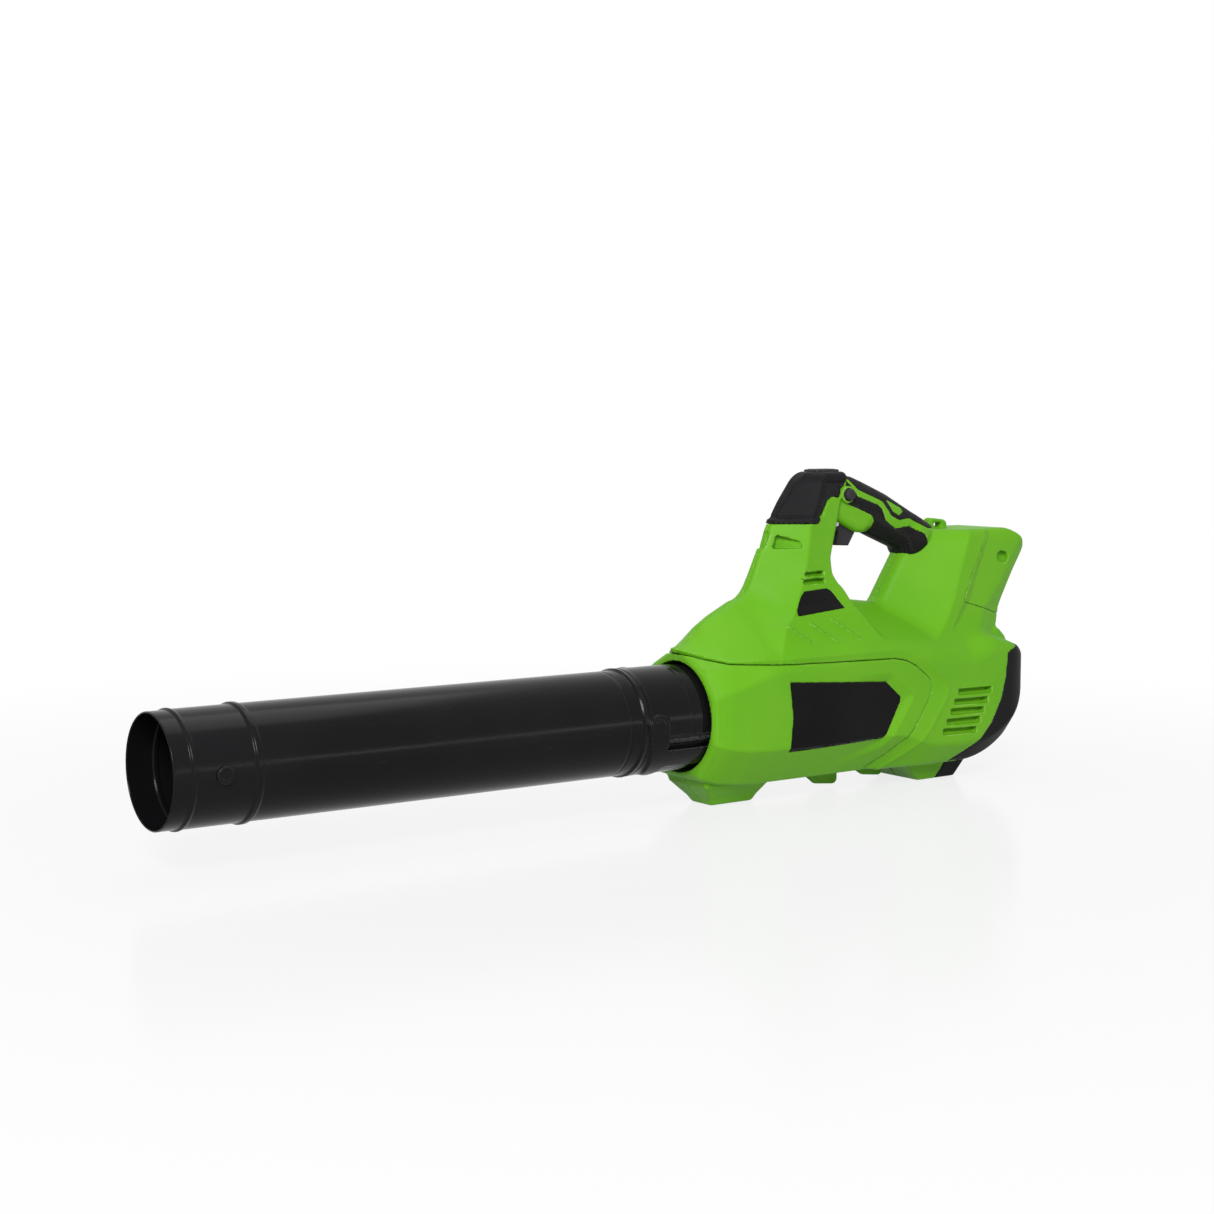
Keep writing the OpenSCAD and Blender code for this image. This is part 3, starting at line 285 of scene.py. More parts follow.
def chain(c, arcs=25, straights=48):
    """Outline round a convex chain of circles (x, y, radius), for every station at once: an arc on each
    circle between the tangents it shares with its neighbours, and the straights between the arcs."""
    def tangent(a, b):
        """Angle at which the line along the outside of two circles leaves each of them."""
        d = b - a
        ratio = (a[..., 2] - b[..., 2]) / np.hypot(d[..., 0], d[..., 1])
        return np.arctan2(d[..., 1], d[..., 0]) - np.arccos(np.clip(ratio, -1, 1))

    t0, t1 = tangent(np.roll(c, 1, axis=1), c), tangent(c, np.roll(c, -1, axis=1))
    angle = t0[..., None] + ((t1 - t0) % (2 * np.pi))[..., None] * np.linspace(0, 1, arcs)
    arc = c[..., None, :2] + c[..., None, 2:] * np.stack([np.cos(angle), np.sin(angle)], -1)
    start, end = arc[:, :, -1], np.roll(arc[:, :, 0], -1, axis=1)
    k = np.linspace(0, 1, straights + 2)[1:-1][:, None]
    line = start[:, :, None] + (end - start)[:, :, None] * k
    return np.concatenate([arc, line], axis=2).reshape(len(c), -1, 2)


class Loft:
    """A row of convex outlines kept as a table of radius by station and angle about a centre line.
    The field of a point is its radius less the table's, times the outline's lean to the radius."""

    turns = 720

    def __init__(self, s, rows, centre):
        self.s0, self.ds, self.centre = s[0], s[1] - s[0], centre
        ring = chain(np.stack([np.stack(row, 1) for row in rows], 1))
        rel = ring - np.stack([centre, np.zeros_like(centre)], 1)[:, None]
        theta = np.arctan2(rel[..., 1], rel[..., 0]) % (2 * np.pi)
        rho = np.hypot(rel[..., 0], rel[..., 1])
        grid = np.arange(self.turns) * 2 * np.pi / self.turns
        self.r = np.stack([np.interp(grid, t, r, period=2 * np.pi) for t, r in zip(theta, rho)])
        slope = (np.roll(self.r, -1, 1) - np.roll(self.r, 1, 1)) / (4 * np.pi / self.turns)
        self.lean = self.r / np.hypot(self.r, slope)

    def __call__(self, s, p, q):
        i = np.clip((s - self.s0) / self.ds, 0, len(self.r) - 1.001)
        i0 = i.astype(int)
        fi = i - i0
        p = p - (self.centre[i0] * (1 - fi) + self.centre[i0 + 1] * fi)
        j = (np.arctan2(q, p) % (2 * np.pi)) * (self.turns / (2 * np.pi))
        j0 = j.astype(int) % self.turns
        fj = j - np.floor(j)
        j1 = (j0 + 1) % self.turns
        near = (self.r[i0, j0] * (1 - fj) + self.r[i0, j1] * fj) * (1 - fi)
        near = near + (self.r[i0 + 1, j0] * (1 - fj) + self.r[i0 + 1, j1] * fj) * fi
        return (np.hypot(p, q) - near) * self.lean[i0, j0]


def mirrored(side, middle=()):
    """Circles on one side, then those on the middle line, then the same side again with its sign turned."""
    return side + list(middle) + [(a, -b, r) for a, b, r in reversed(side)]


def body_loft():
    """The body's sections, each a chain of circles round (height, width): shoulder, flank and keel on a side
    and one on the ridge. Behind TAIL_X the floor follows an ellipse, the width a plan corner, the ridge falls
    in a straight line, and the shoulder turns into the ridge's own circle."""
    step = 0.5
    s, v = dense(BODY_ROWS, step, 3.0)
    tail = np.arange(s[-1] + step, TAIL_END + 0.1, step)
    s = np.concatenate([s, tail])
    top, rt, hw, zs, rs, floor = np.concatenate([v, np.repeat(v[-1:], len(tail), 0)]).T
    back = np.maximum(s - TAIL_X, 0)
    bow = np.sqrt(np.maximum(1 - (back / (TAIL_END - TAIL_X)) ** 2, 0))
    floor = np.where(back > 0, TAIL_Z - (TAIL_Z - BOTTOM) * bow, floor)
    corner = np.maximum(s - (TAIL_END - PLAN_R), 0)
    hw = np.where(back > 0, HALF_W - PLAN_R + np.sqrt(np.maximum(PLAN_R**2 - corner**2, 0)), hw)
    ridge, ridge_r = BODY_ROWS[-1][1:3]
    fall, end_fall, end_from, taper, turn_over = 0.37, 0.3, 368, 0.26, 40
    top = np.where(back > 0, ridge - back * fall - np.maximum(s - end_from, 0) * end_fall, top)
    narrow = np.minimum(np.clip(ridge_r - back * taper, 4, ridge_r), (top - floor) / 2.6)
    rt = np.where(back > 0, narrow, rt)
    turned = ease(back / turn_over)
    rs, zs = rs + (rt - rs) * turned, zs + (top - rt - 2 - zs) * turned
    keel = np.minimum(np.clip(5 + (s - 215) * 0.1, 5, 12), (zs - floor) * 0.4)
    drop = np.minimum(35 - 11 * ease((s - 205) / 60), (zs - floor) * 0.85) - keel
    sharp = rs * (0.28 + 0.65 * ease((s - 30) / 70))
    lift = rs - sharp
    side = [(zs + lift * 0.86, hw - rs + lift * 0.5, sharp), (zs + lift * 0.2, hw - rs + lift * 0.98, sharp),
            (floor + keel + drop, hw - keel, keel), (floor + keel, hw - keel - drop * 0.72, keel)]
    order = [(top - rt, 0 * s, rt)] + mirrored(side)
    return Loft(s, order, np.interp(s, [250, TAIL_END], [0, 24.6]))


def plan_loft(rows, soft, r, nose_r):
    """Plan outlines by height: rear, shoulder and nose circles on each side, carried upwards."""
    s, v = dense(rows, 1.0, soft)
    x0, h0, x1, h1, x2, h2 = v.T
    rear, shoulder = (x2 - r, h2 - r, 0 * s + r), (x1 + r, h1 - r, 0 * s + r)
    nose = (x0 + nose_r, h0 - nose_r, 0 * s + nose_r)
    return Loft(s, mirrored([rear, shoulder, nose]), (x0 + 2 * x2) / 3)


BODY = body_loft()
POST = plan_loft(POST_ROWS, 4.0, 3.0, 3.4)
PILLAR = plan_loft(PILLAR_ROWS, 8.0, 4.0, 11.0)
GRIP = dense(GRIP_ROWS, 1.0, 3.0)


def slanted(u, z):
    """A side-view point measured along the grip and square to it."""
    c, s = math.cos(GRIP_TILT), math.sin(GRIP_TILT)
    return u * c - z * s, u * s + z * c


# ---------------------------------------------------------------- forms of the casing
def cap2d(u, z):
    """Side view of the hood."""
    return outline(CAP_EDGE, u, z)


def body(u, y, z):
    """Envelope of the body, ended by the tail's flat."""
    return high(BODY(u, z, y), u - TAIL_END, 3)


def grip(u, y, z):
    """Ovals along the slanted line: (k - 1) k over the slope of k, where k is the scaled distance from it."""
    s, h = slanted(u, z)
    table, v = GRIP
    line, hh, hw = (np.interp(s, table, v[:, k]) for k in range(3))
    dh = h - line
    k = np.hypot(dh / hh, y / hw)
    steep = np.maximum(np.hypot(dh / hh**2, y / hw**2), 1e-4)
    ends = np.abs(s - (table[0] + table[-1]) / 2) - (table[-1] - table[0]) / 2
    return high((k - 1) * k / steep, ends, 6)


def green_strip(u, z):
    """Side-view field of what stays green between the parts of the soft overmould."""
    return low(low(outline(BAND, u, z), outline(WINDOW, u, z)), outline(UNDER, u, z))


def foot(rows, u, y, z):
    """A block whose ends and half width vary with height, up to just inside the body."""
    h, x0, x1, hw = np.array(rows).T
    ends = high(np.interp(z, h, x0) - u, u - np.interp(z, h, x1), 2)
    return high(high(high(ends, np.abs(y) - np.interp(z, h, hw), 3), FOOT_Z - z, 1.5), z + 38)


def keel_rib(x0, x1, floor, u, y, z):
    """Thin rib under the keel: a ramp in front, round lower corners behind."""
    top, corner_r, half_wide = -50, 5, 2.6
    core = [(x0 + 2, top), (x0 + 2, top - 8), (x0 + 19, floor + 7), (x1 - 6, floor + 5), (x1 - 6, top)]
    return high(outline(core, u, z) - corner_r, np.abs(y) - half_wide, 2)


def eyelet(u, y, z):
    """Strap loop: a rounded bar over a foot, with a slot through it."""
    bar_r, half_wide = 3.4, 5
    base = block(u, 0, z, (298, -1, 146), (322, 1, 160), 1.5)
    loop = low(capsule(u, z, (303, 161.6), (317, 160), bar_r), base, 4)
    slot = block(u, 0, z, (305, -1, 156.4), (314.4, 1, 160.4), 1.2)
    return high(cut(loop, slot, 1), np.abs(y) - half_wide, 2)


def ridge_drop(u, z):
    """How far the flank falls from the ridge line to the cover's seam, more at the front lip, with a fine
    crest on the ridge."""
    outer, inner = outline(RIDGE_EDGE, u, z), outline(COVER_EDGE, u, z)
    t = np.clip(-outer / np.maximum(inner - outer, 1e-6), 0, 1)
    crest = 0.5 * ease((u - 20) / 30) * bump(outer, 0, 2.0)
    return (COVER_STEP + 2.2 * ease((26 - u) / 26)) * t - crest


def scoop(u, y, z):
    """Wedge cut high on each side of the nose. Along the nose's face its roof falls towards the rear, its
    front end leans, and it is deepest in front, where its floor starts."""
    c, s = math.cos(SCOOP_TURN), math.sin(SCOOP_TURN)
    du, dy = u - SCOOP_AT[0], np.abs(y) - SCOOP_AT[1]
    t, n = du * c + dy * s, dy * c - du * s
    fall, front, lean, deepest, shallower, web = 0.297, 4, 0.34, 13, 0.36, 2.2
    roof = z - SCOOP_ROOF + t * fall
    ends = high(front - t + (z - SCOOP_FLOOR) * lean, t - SCOOP_LONG, 1.0)
    inner = high(-n - deepest + t * shallower, web - np.abs(y))
    return high(high(high(roof, SCOOP_FLOOR - z, 0.8), ends, 0.8), inner, 1.0)


def nose_notch(u, y, z, reach):
    """Step cut in the nose's narrow front between the scoops, as far across as reach."""
    rear, lean, top, soft = 99.5, 0.16, 157.5, 0.6
    wall = u - rear - (z - SCOOP_FLOOR) * lean
    return high(high(high(SCOOP_FLOOR - z, z - top, soft), wall, soft), y - reach, soft)


def louvre(x0, x1, z0, height, depth, u, z, lean=0.0):
    """Slot whose floor slopes: shallow at its lower edge, and deeper by a share of the height above it."""
    shallow, share, soft = 4.0, 0.7, 0.8
    zl = z - z0 + (u - x0) * lean
    mouth = high(high(x0 - u, u - x1, soft), high(-zl, zl - height, soft), soft)
    return high(mouth, depth - shallow - np.clip(zl, 0, height) * share, 0.3)


def slots(u, z, depth):
    """Five cooling slots low on each flank, each one set forward from the one above."""
    front, rear, top, forward, pitch, height = 282, 326, 3.4, 4.8, 9.0, 5.8
    rows = [louvre(front - forward * i, rear - forward * i, top - pitch * i, height, depth, u, z, 0.02)
            for i in range(5)]
    return np.minimum.reduce(rows)


def slashes(u, z):
    """Height of three slanting ribs under the post's badge."""
    tall, wide = 1.9, 1.8
    return sum(tall * ease(1 - capsule(u, z, a, b, 0) / wide) for a, b in SLASHES)


def bar(u, z, at, r):
    """Distance to a bar along Y."""
    return np.hypot(u - at[0], z - at[1]) - r


def screw_wells(places, u, y, z):
    """Wells for screw heads, open to the right side."""
    well_r = 3.6
    wells = [high(bar(u, z, s[:2], well_r), s[2] - y, 0.6) for s in places]
    return np.minimum.reduce(wells)


def trigger_well(u, y, z):
    """Opening that the trigger swings in."""
    return high(outline(TRIGGER_WELL, u, z), np.abs(y) - 7.6)


def turbo_plan(u, y):
    """Plan view of the pad: a rectangle with round corners."""
    return block(u, y, 0, (TURBO_X - TURBO_LONG, -TURBO_WIDE, -1), (TURBO_X + TURBO_LONG, TURBO_WIDE, 1), 3)


def turbo_well(u, y, z, grow=0.3):
    """Shaft for the pad on the hood's top."""
    return high(turbo_plan(u, y) - grow, TURBO_FLOOR - z)


def on_dock(u, z):
    """Side-view point in the frame of the dock's face: out of it, and up along it."""
    lean = math.atan2(DOCK_TOP[0] - DOCK_FOOT[0], DOCK_TOP[1] - DOCK_FOOT[1])
    c, s = math.cos(lean), math.sin(lean)
    du, dz = u - DOCK_FOOT[0], z - DOCK_FOOT[1]
    return du * c - dz * s, du * s + dz * c


def chamfer(u, y, z):
    """Planes that narrow the pillar towards its rear, a little wider near its foot."""
    out, _ = on_dock(u, z)
    turn, half, start = math.radians(18), 40.8, 24
    flare = np.maximum(80 - z, 0) * 0.3
    return (np.abs(y) - half - flare) * math.cos(turn) + (out + start) * math.sin(turn)


def recess(u, z):
    """Depth of the pillar's rear field below its front one: nothing ahead of a slanted line, then a bevel
    that is widest at the dock's lower corner and runs out under it."""
    wide = np.interp(z, [60, 66, 88, 154], [1.5, 2.5, 10, 4.0])
    depth = np.interp(z, [60, 68, 88, 154], [0, 1.4, 3.4, 2.0])
    return depth * np.clip(-outline(RECESS_EDGE, u, z) / wide, 0, 1)


def pillar(u, y, z):
    """The battery pillar: its loft less the recess, narrowed to the rear and cut off level at the top."""
    return high(high(PILLAR(z, u, y) + recess(u, z), chamfer(u, y, z), 1.0), z - PILLAR_TOP, 3)


def trunk(u, y, z):
    """Body, post and pillar run together, with the post's upper end still under the hood's outer form."""
    flank = body(u, y, z) + ridge_drop(u, z)
    rear = high(pillar(u, y, z), 30 - z)
    flap = high(outline(FLAP, u, z), np.abs(y) - 43.5, 5)
    f = low(low(flank, high(POST(z, u, y), 40 - z), 8), low(rear, flap, 3), 6)
    return f - slashes(u, z) * ease((np.abs(y) - 25) / 10)


def boss(u, y, z):
    """Block under the hood that carries the lock and the trigger."""
    return high(outline(BOSS, u, z), np.abs(y) - 15, 8)


def casing(p, u, y, z):
    """The green casing before its openings: trunk, head, grip core, boss, lock's ring, foot, rib, eyelet."""
    pocket = inlay(u, z, POST_BADGE) * (np.abs(y) > 20)
    head = high(high(POST(z, u, y) + p.hood_wall, z - HEAD_TOP, 1), 150 - z)
    stem = low(high(trunk(u, y, z) + pocket, -cap2d(u, z)), head)
    oval = grip(u, y, z)
    core = low(oval + p.rubber, high(oval + 0.4, green_strip(u, z), 0.6))
    handle = low(core, boss(u, y, z), 3)
    handle = low(handle, high(bar(u, z, LOCK_AT, LOCK_RING_R), np.abs(y) - 19.8, 0.8))
    extras = low(foot(REAR_FOOT, u, y, z), low(keel_rib(202, 245, -75.5, u, y, z), eyelet(u, y, z)))
    return low(low(stem, handle, 2), extras, 2)


def grille2d(u, z):
    """Side view of the black tail and the rear half of the foot."""
    return outline(TAIL_EDGE, u, z)


def switch_well(u, y, z):
    """Tilted pocket for the switch inside the grip."""
    s, h = slanted(u, z)
    s0, h0 = slanted(*SWITCH_AT)
    long, wide, tall = 22.2, 9.2, 7.7
    return block(s, y, h, (s0 - long, -wide, h0 - tall), (s0 + long, wide, h0 + tall))


def duct_room(u, y, z):
    """Room for the duct: a bore that narrows a little behind station 288."""
    return np.hypot(y, z) - DUCT_ROOM_R - np.maximum(u - 288, 0) * 0.054


def halved(f, y):
    """The half on the +Y side, with a small groove round the parting line."""
    return high(f, PARTING - y, 0.5)


def housing(p, screws, u, y, z):
    """One half of the housing, on the +Y side: the casing less its neighbours, the room for the works, the
    slots, scoop and notch, and on the right half the screws' wells."""
    f = casing(p, u, y, z)
    f = cut(f, outline(COVER_EDGE, u, z) - p.seam, 0.5)
    f = cut(f, grille2d(u, z) - FIT, 0.5)
    f = cut(f, outline(DOCK_REGION, u, z) - PARTING, 0.25)
    f = cut(f, duct_room(u, y, z))
    f = cut(f, slots(u, z, -BODY(u, z, y)), 0.4)
    f = cut(f, scoop(u, y, z), 0.6)
    across, to_middle = 30, 4.6
    f = cut(f, nose_notch(u, y, z, across if screws else to_middle), 0.6)
    depth = -POST(z, u, y)
    vents = low(louvre(119.5, 146, 111.8, 4.4, depth, u, z), louvre(123, 146, 118.6, 3.8, depth, u, z))
    f = cut(f, vents, 0.3)
    f = cut(f, trigger_well(u, y, z))
    f = cut(f, turbo_well(u, y, z))
    f = cut(f, switch_well(u, y, z))
    f = cut(f, bar(u, z, LOCK_AT, LOCK_R + 0.3), 0.6)
    board_room = block(u, y, z, (116, -16, 99), (168, 16, 106))
    f = cut(f, board_room)
    if screws:
        f = cut(f, screw_wells(SCREWS, u, y, z), 0.6)
    return halved(high(f, LIP_X - u, 0.8), y)


def cover_skin(u, y, z):
    """Surface of the side cover: the envelope set in, chamfered round its mouth, with a hollow that deepens
    to the rear and whose rim slopes up round the badge's point."""
    pad = np.clip(-outline(PAD_EDGE, u, z) / 7, 0, 1)
    step = 0.8 + 0.8 * ease((u - 8) / 24) + 3.0 * pad * ease((u - 125) / 85)
    skin_f = BODY(u, z, y) + step
    return high(skin_f, (skin_f + (2.6 - u) * 1.1) * 0.7)


def inlay(u, z, edge):
    """Depth of the shallow pocket under an inlay."""
    return INLAY_DEPTH * ease((0.4 - outline(edge, u, z)) / 0.8)


def cover(p, screws, u, y, z):
    """One side cover, on the +Y side, with its share of the front foot, a keel rib, the bore for the spigot,
    and the steps of that bore for the duct and its flange."""
    edge = outline(COVER_EDGE, u, z) + p.seam
    f = high(cover_skin(u, y, z) + inlay(u, z, SIDE_BADGE), edge, 0.6)
    f = low(f, high(high(foot(FRONT_FOOT, u, y, z), edge), z + 40), 1.5)
    f = low(f, keel_rib(143, 188, -78, u, y, z), 1.5)
    bore, duct_front, flange_x, flange_half = np.hypot(y, z), 20, 31.5, 2
    f = cut(f, bore - MOUTH_R, 0.8)
    f = cut(f, high(bore - DUCT_ROOM_R + 0.2, duct_front - u))
    f = cut(f, high(bore - FLANGE_R, np.abs(u - flange_x) - flange_half))
    if screws:
        f = cut(f, screw_wells(COVER_SCREWS, u, y, z), 0.6)
    return halved(high(f, 0.1 - u, 0.8), y)


def badge(edge, wall, u, y, z):
    """Inlay that follows a wall of the +Y side, a little proud of it."""
    f = wall(u, y, z)
    face = high(f - INLAY_PROUD, outline(edge, u, z) + FIT, 0.5)
    return high(cut(face, f + INLAY_DEPTH + INLAY_PROUD), 20 - y)


def hood(p, u, y, z):
    """Hood over the post's head: a shell with sunk side panels and a ledge along its lower edge."""
    stem = POST(z, u, y)
    edge = cap2d(u, z) + FIT
    panel_deep, panel_edge, ledge_z, ledge_half, ledge_proud, groove_z = 1.3, 1.4, 167.2, 2.0, 1.1, 171.4
    sunk = np.clip(-outline(CAP_PANEL, u, z) / panel_edge, 0, 1) * ease((z - 168) / 5)
    f = high(high(stem + panel_deep * sunk, z - HOOD_TOP, 5), edge, 1.0)
    ledge = high(high(stem - ledge_proud, np.abs(z - ledge_z) - ledge_half, 0.6), edge, 0.4)
    f = low(f + 0.7 * bump(z, groove_z, 0.8), ledge, 0.4)
    f = cut(f, high(stem + p.hood_wall - FIT, z - HEAD_TOP - 1))
    f = cut(f, grip(u, y, z) - 0.25)
    f = cut(f, turbo_well(u, y, z, 0.35), 0.8)
    return cut(f, bar(u, z, LOCK_AT, LOCK_RING_R + 0.7), 0.6)


def overmould(p, u, y, z):
    """Soft shell of the grip on the +Y side, parted by the green strips."""
    oval = grip(u, y, z)
    f = high(oval, outline(GRIP_LIMIT, u, z), 0.6)
    f = cut(f, oval + p.rubber - 0.1)
    f = cut(f, green_strip(u, z) - FIT, 1.0)
    f = cut(f, boss(u, y, z) - 0.12)
    f = cut(f, high(PILLAR(z, u, y), z - PILLAR_TOP, 3) - 0.2)
    f = cut(f, high(POST(z, u, y) - 0.2, cap2d(u, z)))
    return halved(cut(f, bar(u, z, LOCK_AT, LOCK_RING_R + 0.1), 0.6), y)


def dock(u, y, z):
    """Battery dock: the pillar's rear with chamfered flanks, a slot with grooved rails and a side hole."""
    out, up = on_dock(u, z)
    side = np.abs(y)
    f = high(pillar(u, y, z), outline(DOCK_REGION, u, z) + 0.12, 0.25)
    slot = high(high(side - SLOT_HALF, -SLOT_DEEP - out), SLOT_END - up)
    groove = high(high(side - GROOVE_HALF, np.abs(out + GROOVE_DEEP) - 3), SLOT_END - up)
    f = cut(f, low(slot, groove), 0.8)
    terminals = block(out, y, up, (-28.2, -17.2, 11.9), (-15, 17.2, 34.1))
    f = cut(f, terminals)
    hole = capsule(u, z, (361.5, 128), (366, 127.4), 5.3)
    f = cut(f, high(hole, GROOVE_HALF + 0.6 - side), 0.6)
    return cut(f, screw_wells(SCREWS[-1:], u, y, z))


def grille(p, u, y, z):
    """Intake grille: the black tail as a shell with three columns of slots, and the rear half of the foot."""
    region = grille2d(u, z) + FIT
    shell = body(u, y, z)
    f = low(high(shell, region, 1.2), high(foot(REAR_FOOT, u, y, z), region, 0.8), 2)
    f = cut(f, high(shell + SHELL, np.minimum(250 - u, 0) - 1))
    f = cut(f, high(duct_room(u, y, z), u - DUCT_END - 0.4))
    half_slot, half_pitch, half_column = 1.8, 13.5, 11.5
    row = np.abs(((29 - z) % p.grille_pitch) - half_slot) - half_slot
    column = np.abs(((np.abs(y) + half_pitch) % (2 * half_pitch)) - half_pitch) - half_column
    window = high(np.abs(z + 11.5) - 41, high(TAIL_X - u, np.abs(y) - 38.6))
    f = cut(f, high(high(row, column, 1.5), window, 1), 0.8)
    from_screw = np.hypot(u - 304, np.abs(y) - 20)
    return cut(f, low(high(from_screw - 3.4, z + 76.8), high(from_screw - 1.7, z + 66)))


def trigger_form(u, y, z):
    """Finger trigger with rounded flanks and its pivot hole."""
    f = high(outline(TRIGGER, u, z), np.abs(y) - 7 - (z - 160) * 0.04, 1.6)
    return cut(f, bar(u, z, TRIGGER_PIN, 2.05))


def turbo_pad(u, y, z):
    """Pad with fine ribs on its top and a short stem into the spring."""
    tall, pitch, half_long, half_wide, fade, deep = 0.45, 4.5, 12.5, 8, 1.5, 12.5
    stem_r, stem_z, stem_half = 2.4, 200.5, 1.8
    along = np.abs(u - TURBO_X)
    rib = tall * (0.5 + 0.5 * np.cos(along * 2 * np.pi / pitch)) * ease((half_wide - np.abs(y)) / fade)
    rib = rib * ease((half_long - along) / fade)
    f = high(turbo_plan(u, y), high(z - TURBO_TOP + tall - rib, TURBO_TOP - deep - z, 0.5), 1.6)
    stem = high(np.hypot(u - TURBO_X, y) - stem_r, np.abs(z - stem_z) - stem_half)
    return low(f, stem, 0.5)


def track2d(u, z):
    """Side view of the bayonet track: a short way round the tube, then a lane towards the body."""
    start, lane, half = (-49, 2), LUG_R * math.sin(LUG_TURN), 5.3
    turn = (start[0], lane)
    return low(capsule(u, z, start, turn, half), capsule(u, z, turn, (60, lane), half))


def collar(u, y, z):
    """Tube collar: a thicker wall with a bead, a hair groove and a small step, a round boss over a slanting
    leg and a long raised bar, and an open slit above the bar."""
    front, rear, disc_x, bar_z, slit_z = -71, 28.4, -53, -28.5, -18.2
    raised_r, roof_r, track_r = 48.2, 47.4, 46.4
    r = np.hypot(y, z)
    bead = 0.75 * bump(u, -67, 1.6) + 0.4 * bump(u, -61, 1.1)
    lines = 0.45 * bump(u, -16.5, 0.7) + 0.5 * ease((u + 6) / 1.2)
    step = 1.1 * ease((u + 69) / 2.5)
    wall = high(r - BARREL_R - step - bead + lines, BORE_R - r)
    near = -z * np.sign(y + 1e-9)
    track = track2d(u, near)
    disc = capsule(u, near, (disc_x, 1), (disc_x, 1), 10.2)
    long_bar = capsule(u, near, (-46, bar_z), (60, bar_z), 8.6)
    leg = low(capsule(u, near, (disc_x, -4), (-46.5, -36), 9.3), long_bar, 2)
    raised = high(high(r - raised_r, low(disc, leg, 1), 1.2), BORE_R + 1 - r)
    roof = high(high(r - roof_r, track - 2.6, 1.2), BORE_R + 1 - r)
    off = np.hypot(u + 52.5, near - 1)
    ring = 0.5 * bump(off, 6.6, 0.8) + 0.3 * ease((6 - off) / 1.5)
    f = low(wall, low(raised, roof, 0.6) + ring, 0.8)
    f = cut(f, high(track, r - track_r))
    slit = capsule(u, near, (-40, slit_z), (0, slit_z), 2.4)
    f = cut(f, high(slit, BORE_R - 1 - r), 0.4)
    return high(f, np.abs(u - (front + rear) / 2) - (rear - front) / 2, 0.6)


def nub(u, y, z):
    """Round stud on the tube with a shallow dish in its face."""
    off = np.hypot(u - NUB_X, z)
    dish = 0.4 * ease((4.4 - off) / 0.8)
    return high(high(off - 7, y - TUBE_R - 2.6 + dish, 1.6), BORE_R + 0.4 - y)


def lock_bolt(u, y, z):
    """Round bolt with domed ends and a ring groove near each."""
    along = np.abs(y)
    groove = 0.35 * bump(along, LOCK_REACH - 4.2, 0.5)
    return high(bar(u, z, LOCK_AT, LOCK_R) + groove, along - LOCK_REACH, 2.6)


# ---------------------------------------------------------------- meshes
def world(p):
    """Millimetres from the rim and the tube's axis to metres in the shared frame."""
    return (p + np.array([RIM, 0, AXIS])) * MM


def skin(field, lo, hi, cell):
    """Closed mesh where the field is zero. Each grid edge whose ends differ in sign gives a quad between the
    four cells round it. A cell's point is the mean of the crossings on its edges, moved down the slope on to
    the surface. Also returns the slope there and its divergence, which tells ridges from hollows."""
    lo, hi = np.array(lo, float), np.array(hi, float)
    n = np.ceil((hi - lo) / cell).astype(int) + 1
    x, y, z = (lo[k] + cell * np.arange(n[k]) for k in range(3))
    values = field(x[:, None, None], y[None, :, None], z[None, None, :])
    f = np.array(np.broadcast_to(values, n), np.float32)
    for k in range(3):
        rim = [slice(None)] * 3
        rim[k] = [0, -1]
        f[tuple(rim)] = np.maximum(f[tuple(rim)], 0.01)
    inside = f < 0
    quads, corners, spots = [], [], []
    for k in range(3):
        b, c = np.roll(np.arange(3), -k)[1:]
        near, far = [slice(None)] * 3, [slice(None)] * 3
        near[k], far[k] = slice(None, -1), slice(1, None)
        at = np.argwhere(inside[tuple(near)] != inside[tuple(far)])
        ahead = at.copy()
        ahead[:, k] += 1
        f0, f1 = f[tuple(at.T)], f[tuple(ahead.T)]
        spot = at.astype(float)
        spot[:, k] += f0 / (f0 - f1)
        ring = np.repeat(at[:, None], 4, axis=1)
        ring[:, 0, b] -= 1
        ring[:, 0, c] -= 1
        ring[:, 1, c] -= 1
        ring[:, 3, b] -= 1
        cells = (ring[..., 0] * n[1] + ring[..., 1]) * n[2] + ring[..., 2]
        quads.append(np.where((f0 < 0)[:, None], cells, cells[:, ::-1]))
        corners.append(cells.ravel())
        spots.append(np.repeat(spot, 4, axis=0))
    used, back = np.unique(np.concatenate(corners), return_inverse=True)
    spots = np.concatenate(spots)
    count = np.bincount(back)
    p = lo + cell * np.stack([np.bincount(back, spots[:, k]) / count for k in range(3)], 1)
    passes, fine, coarse = 3, 0.2, 0.9
    for _ in range(passes):
        here, g, _ = slope(field, p, fine)
        move = -here[:, None] * g / np.maximum((g * g).sum(1), 1e-6)[:, None]
        size = np.linalg.norm(move, axis=1, keepdims=True)
        p += move * np.minimum(1, 0.55 * cell / np.maximum(size, 1e-9))
    _, g, bend = slope(field, p, coarse)
    return p, np.searchsorted(used, np.concatenate(quads)), g, bend


def slope(field, p, h):
    """Value, central-difference slope and divergence of a field at points."""
    here = field(*p.T)
    sides = [[field(*(p + d * h * np.eye(3)[k]).T) for d in (1, -1)] for k in range(3)]
    g = np.stack([(a - b) / (2 * h) for a, b in sides], 1)
    bend = (sum(a + b for a, b in sides) - 6 * here) / h**2
    return here, g, bend / np.maximum(np.linalg.norm(g, axis=1), 1e-3)


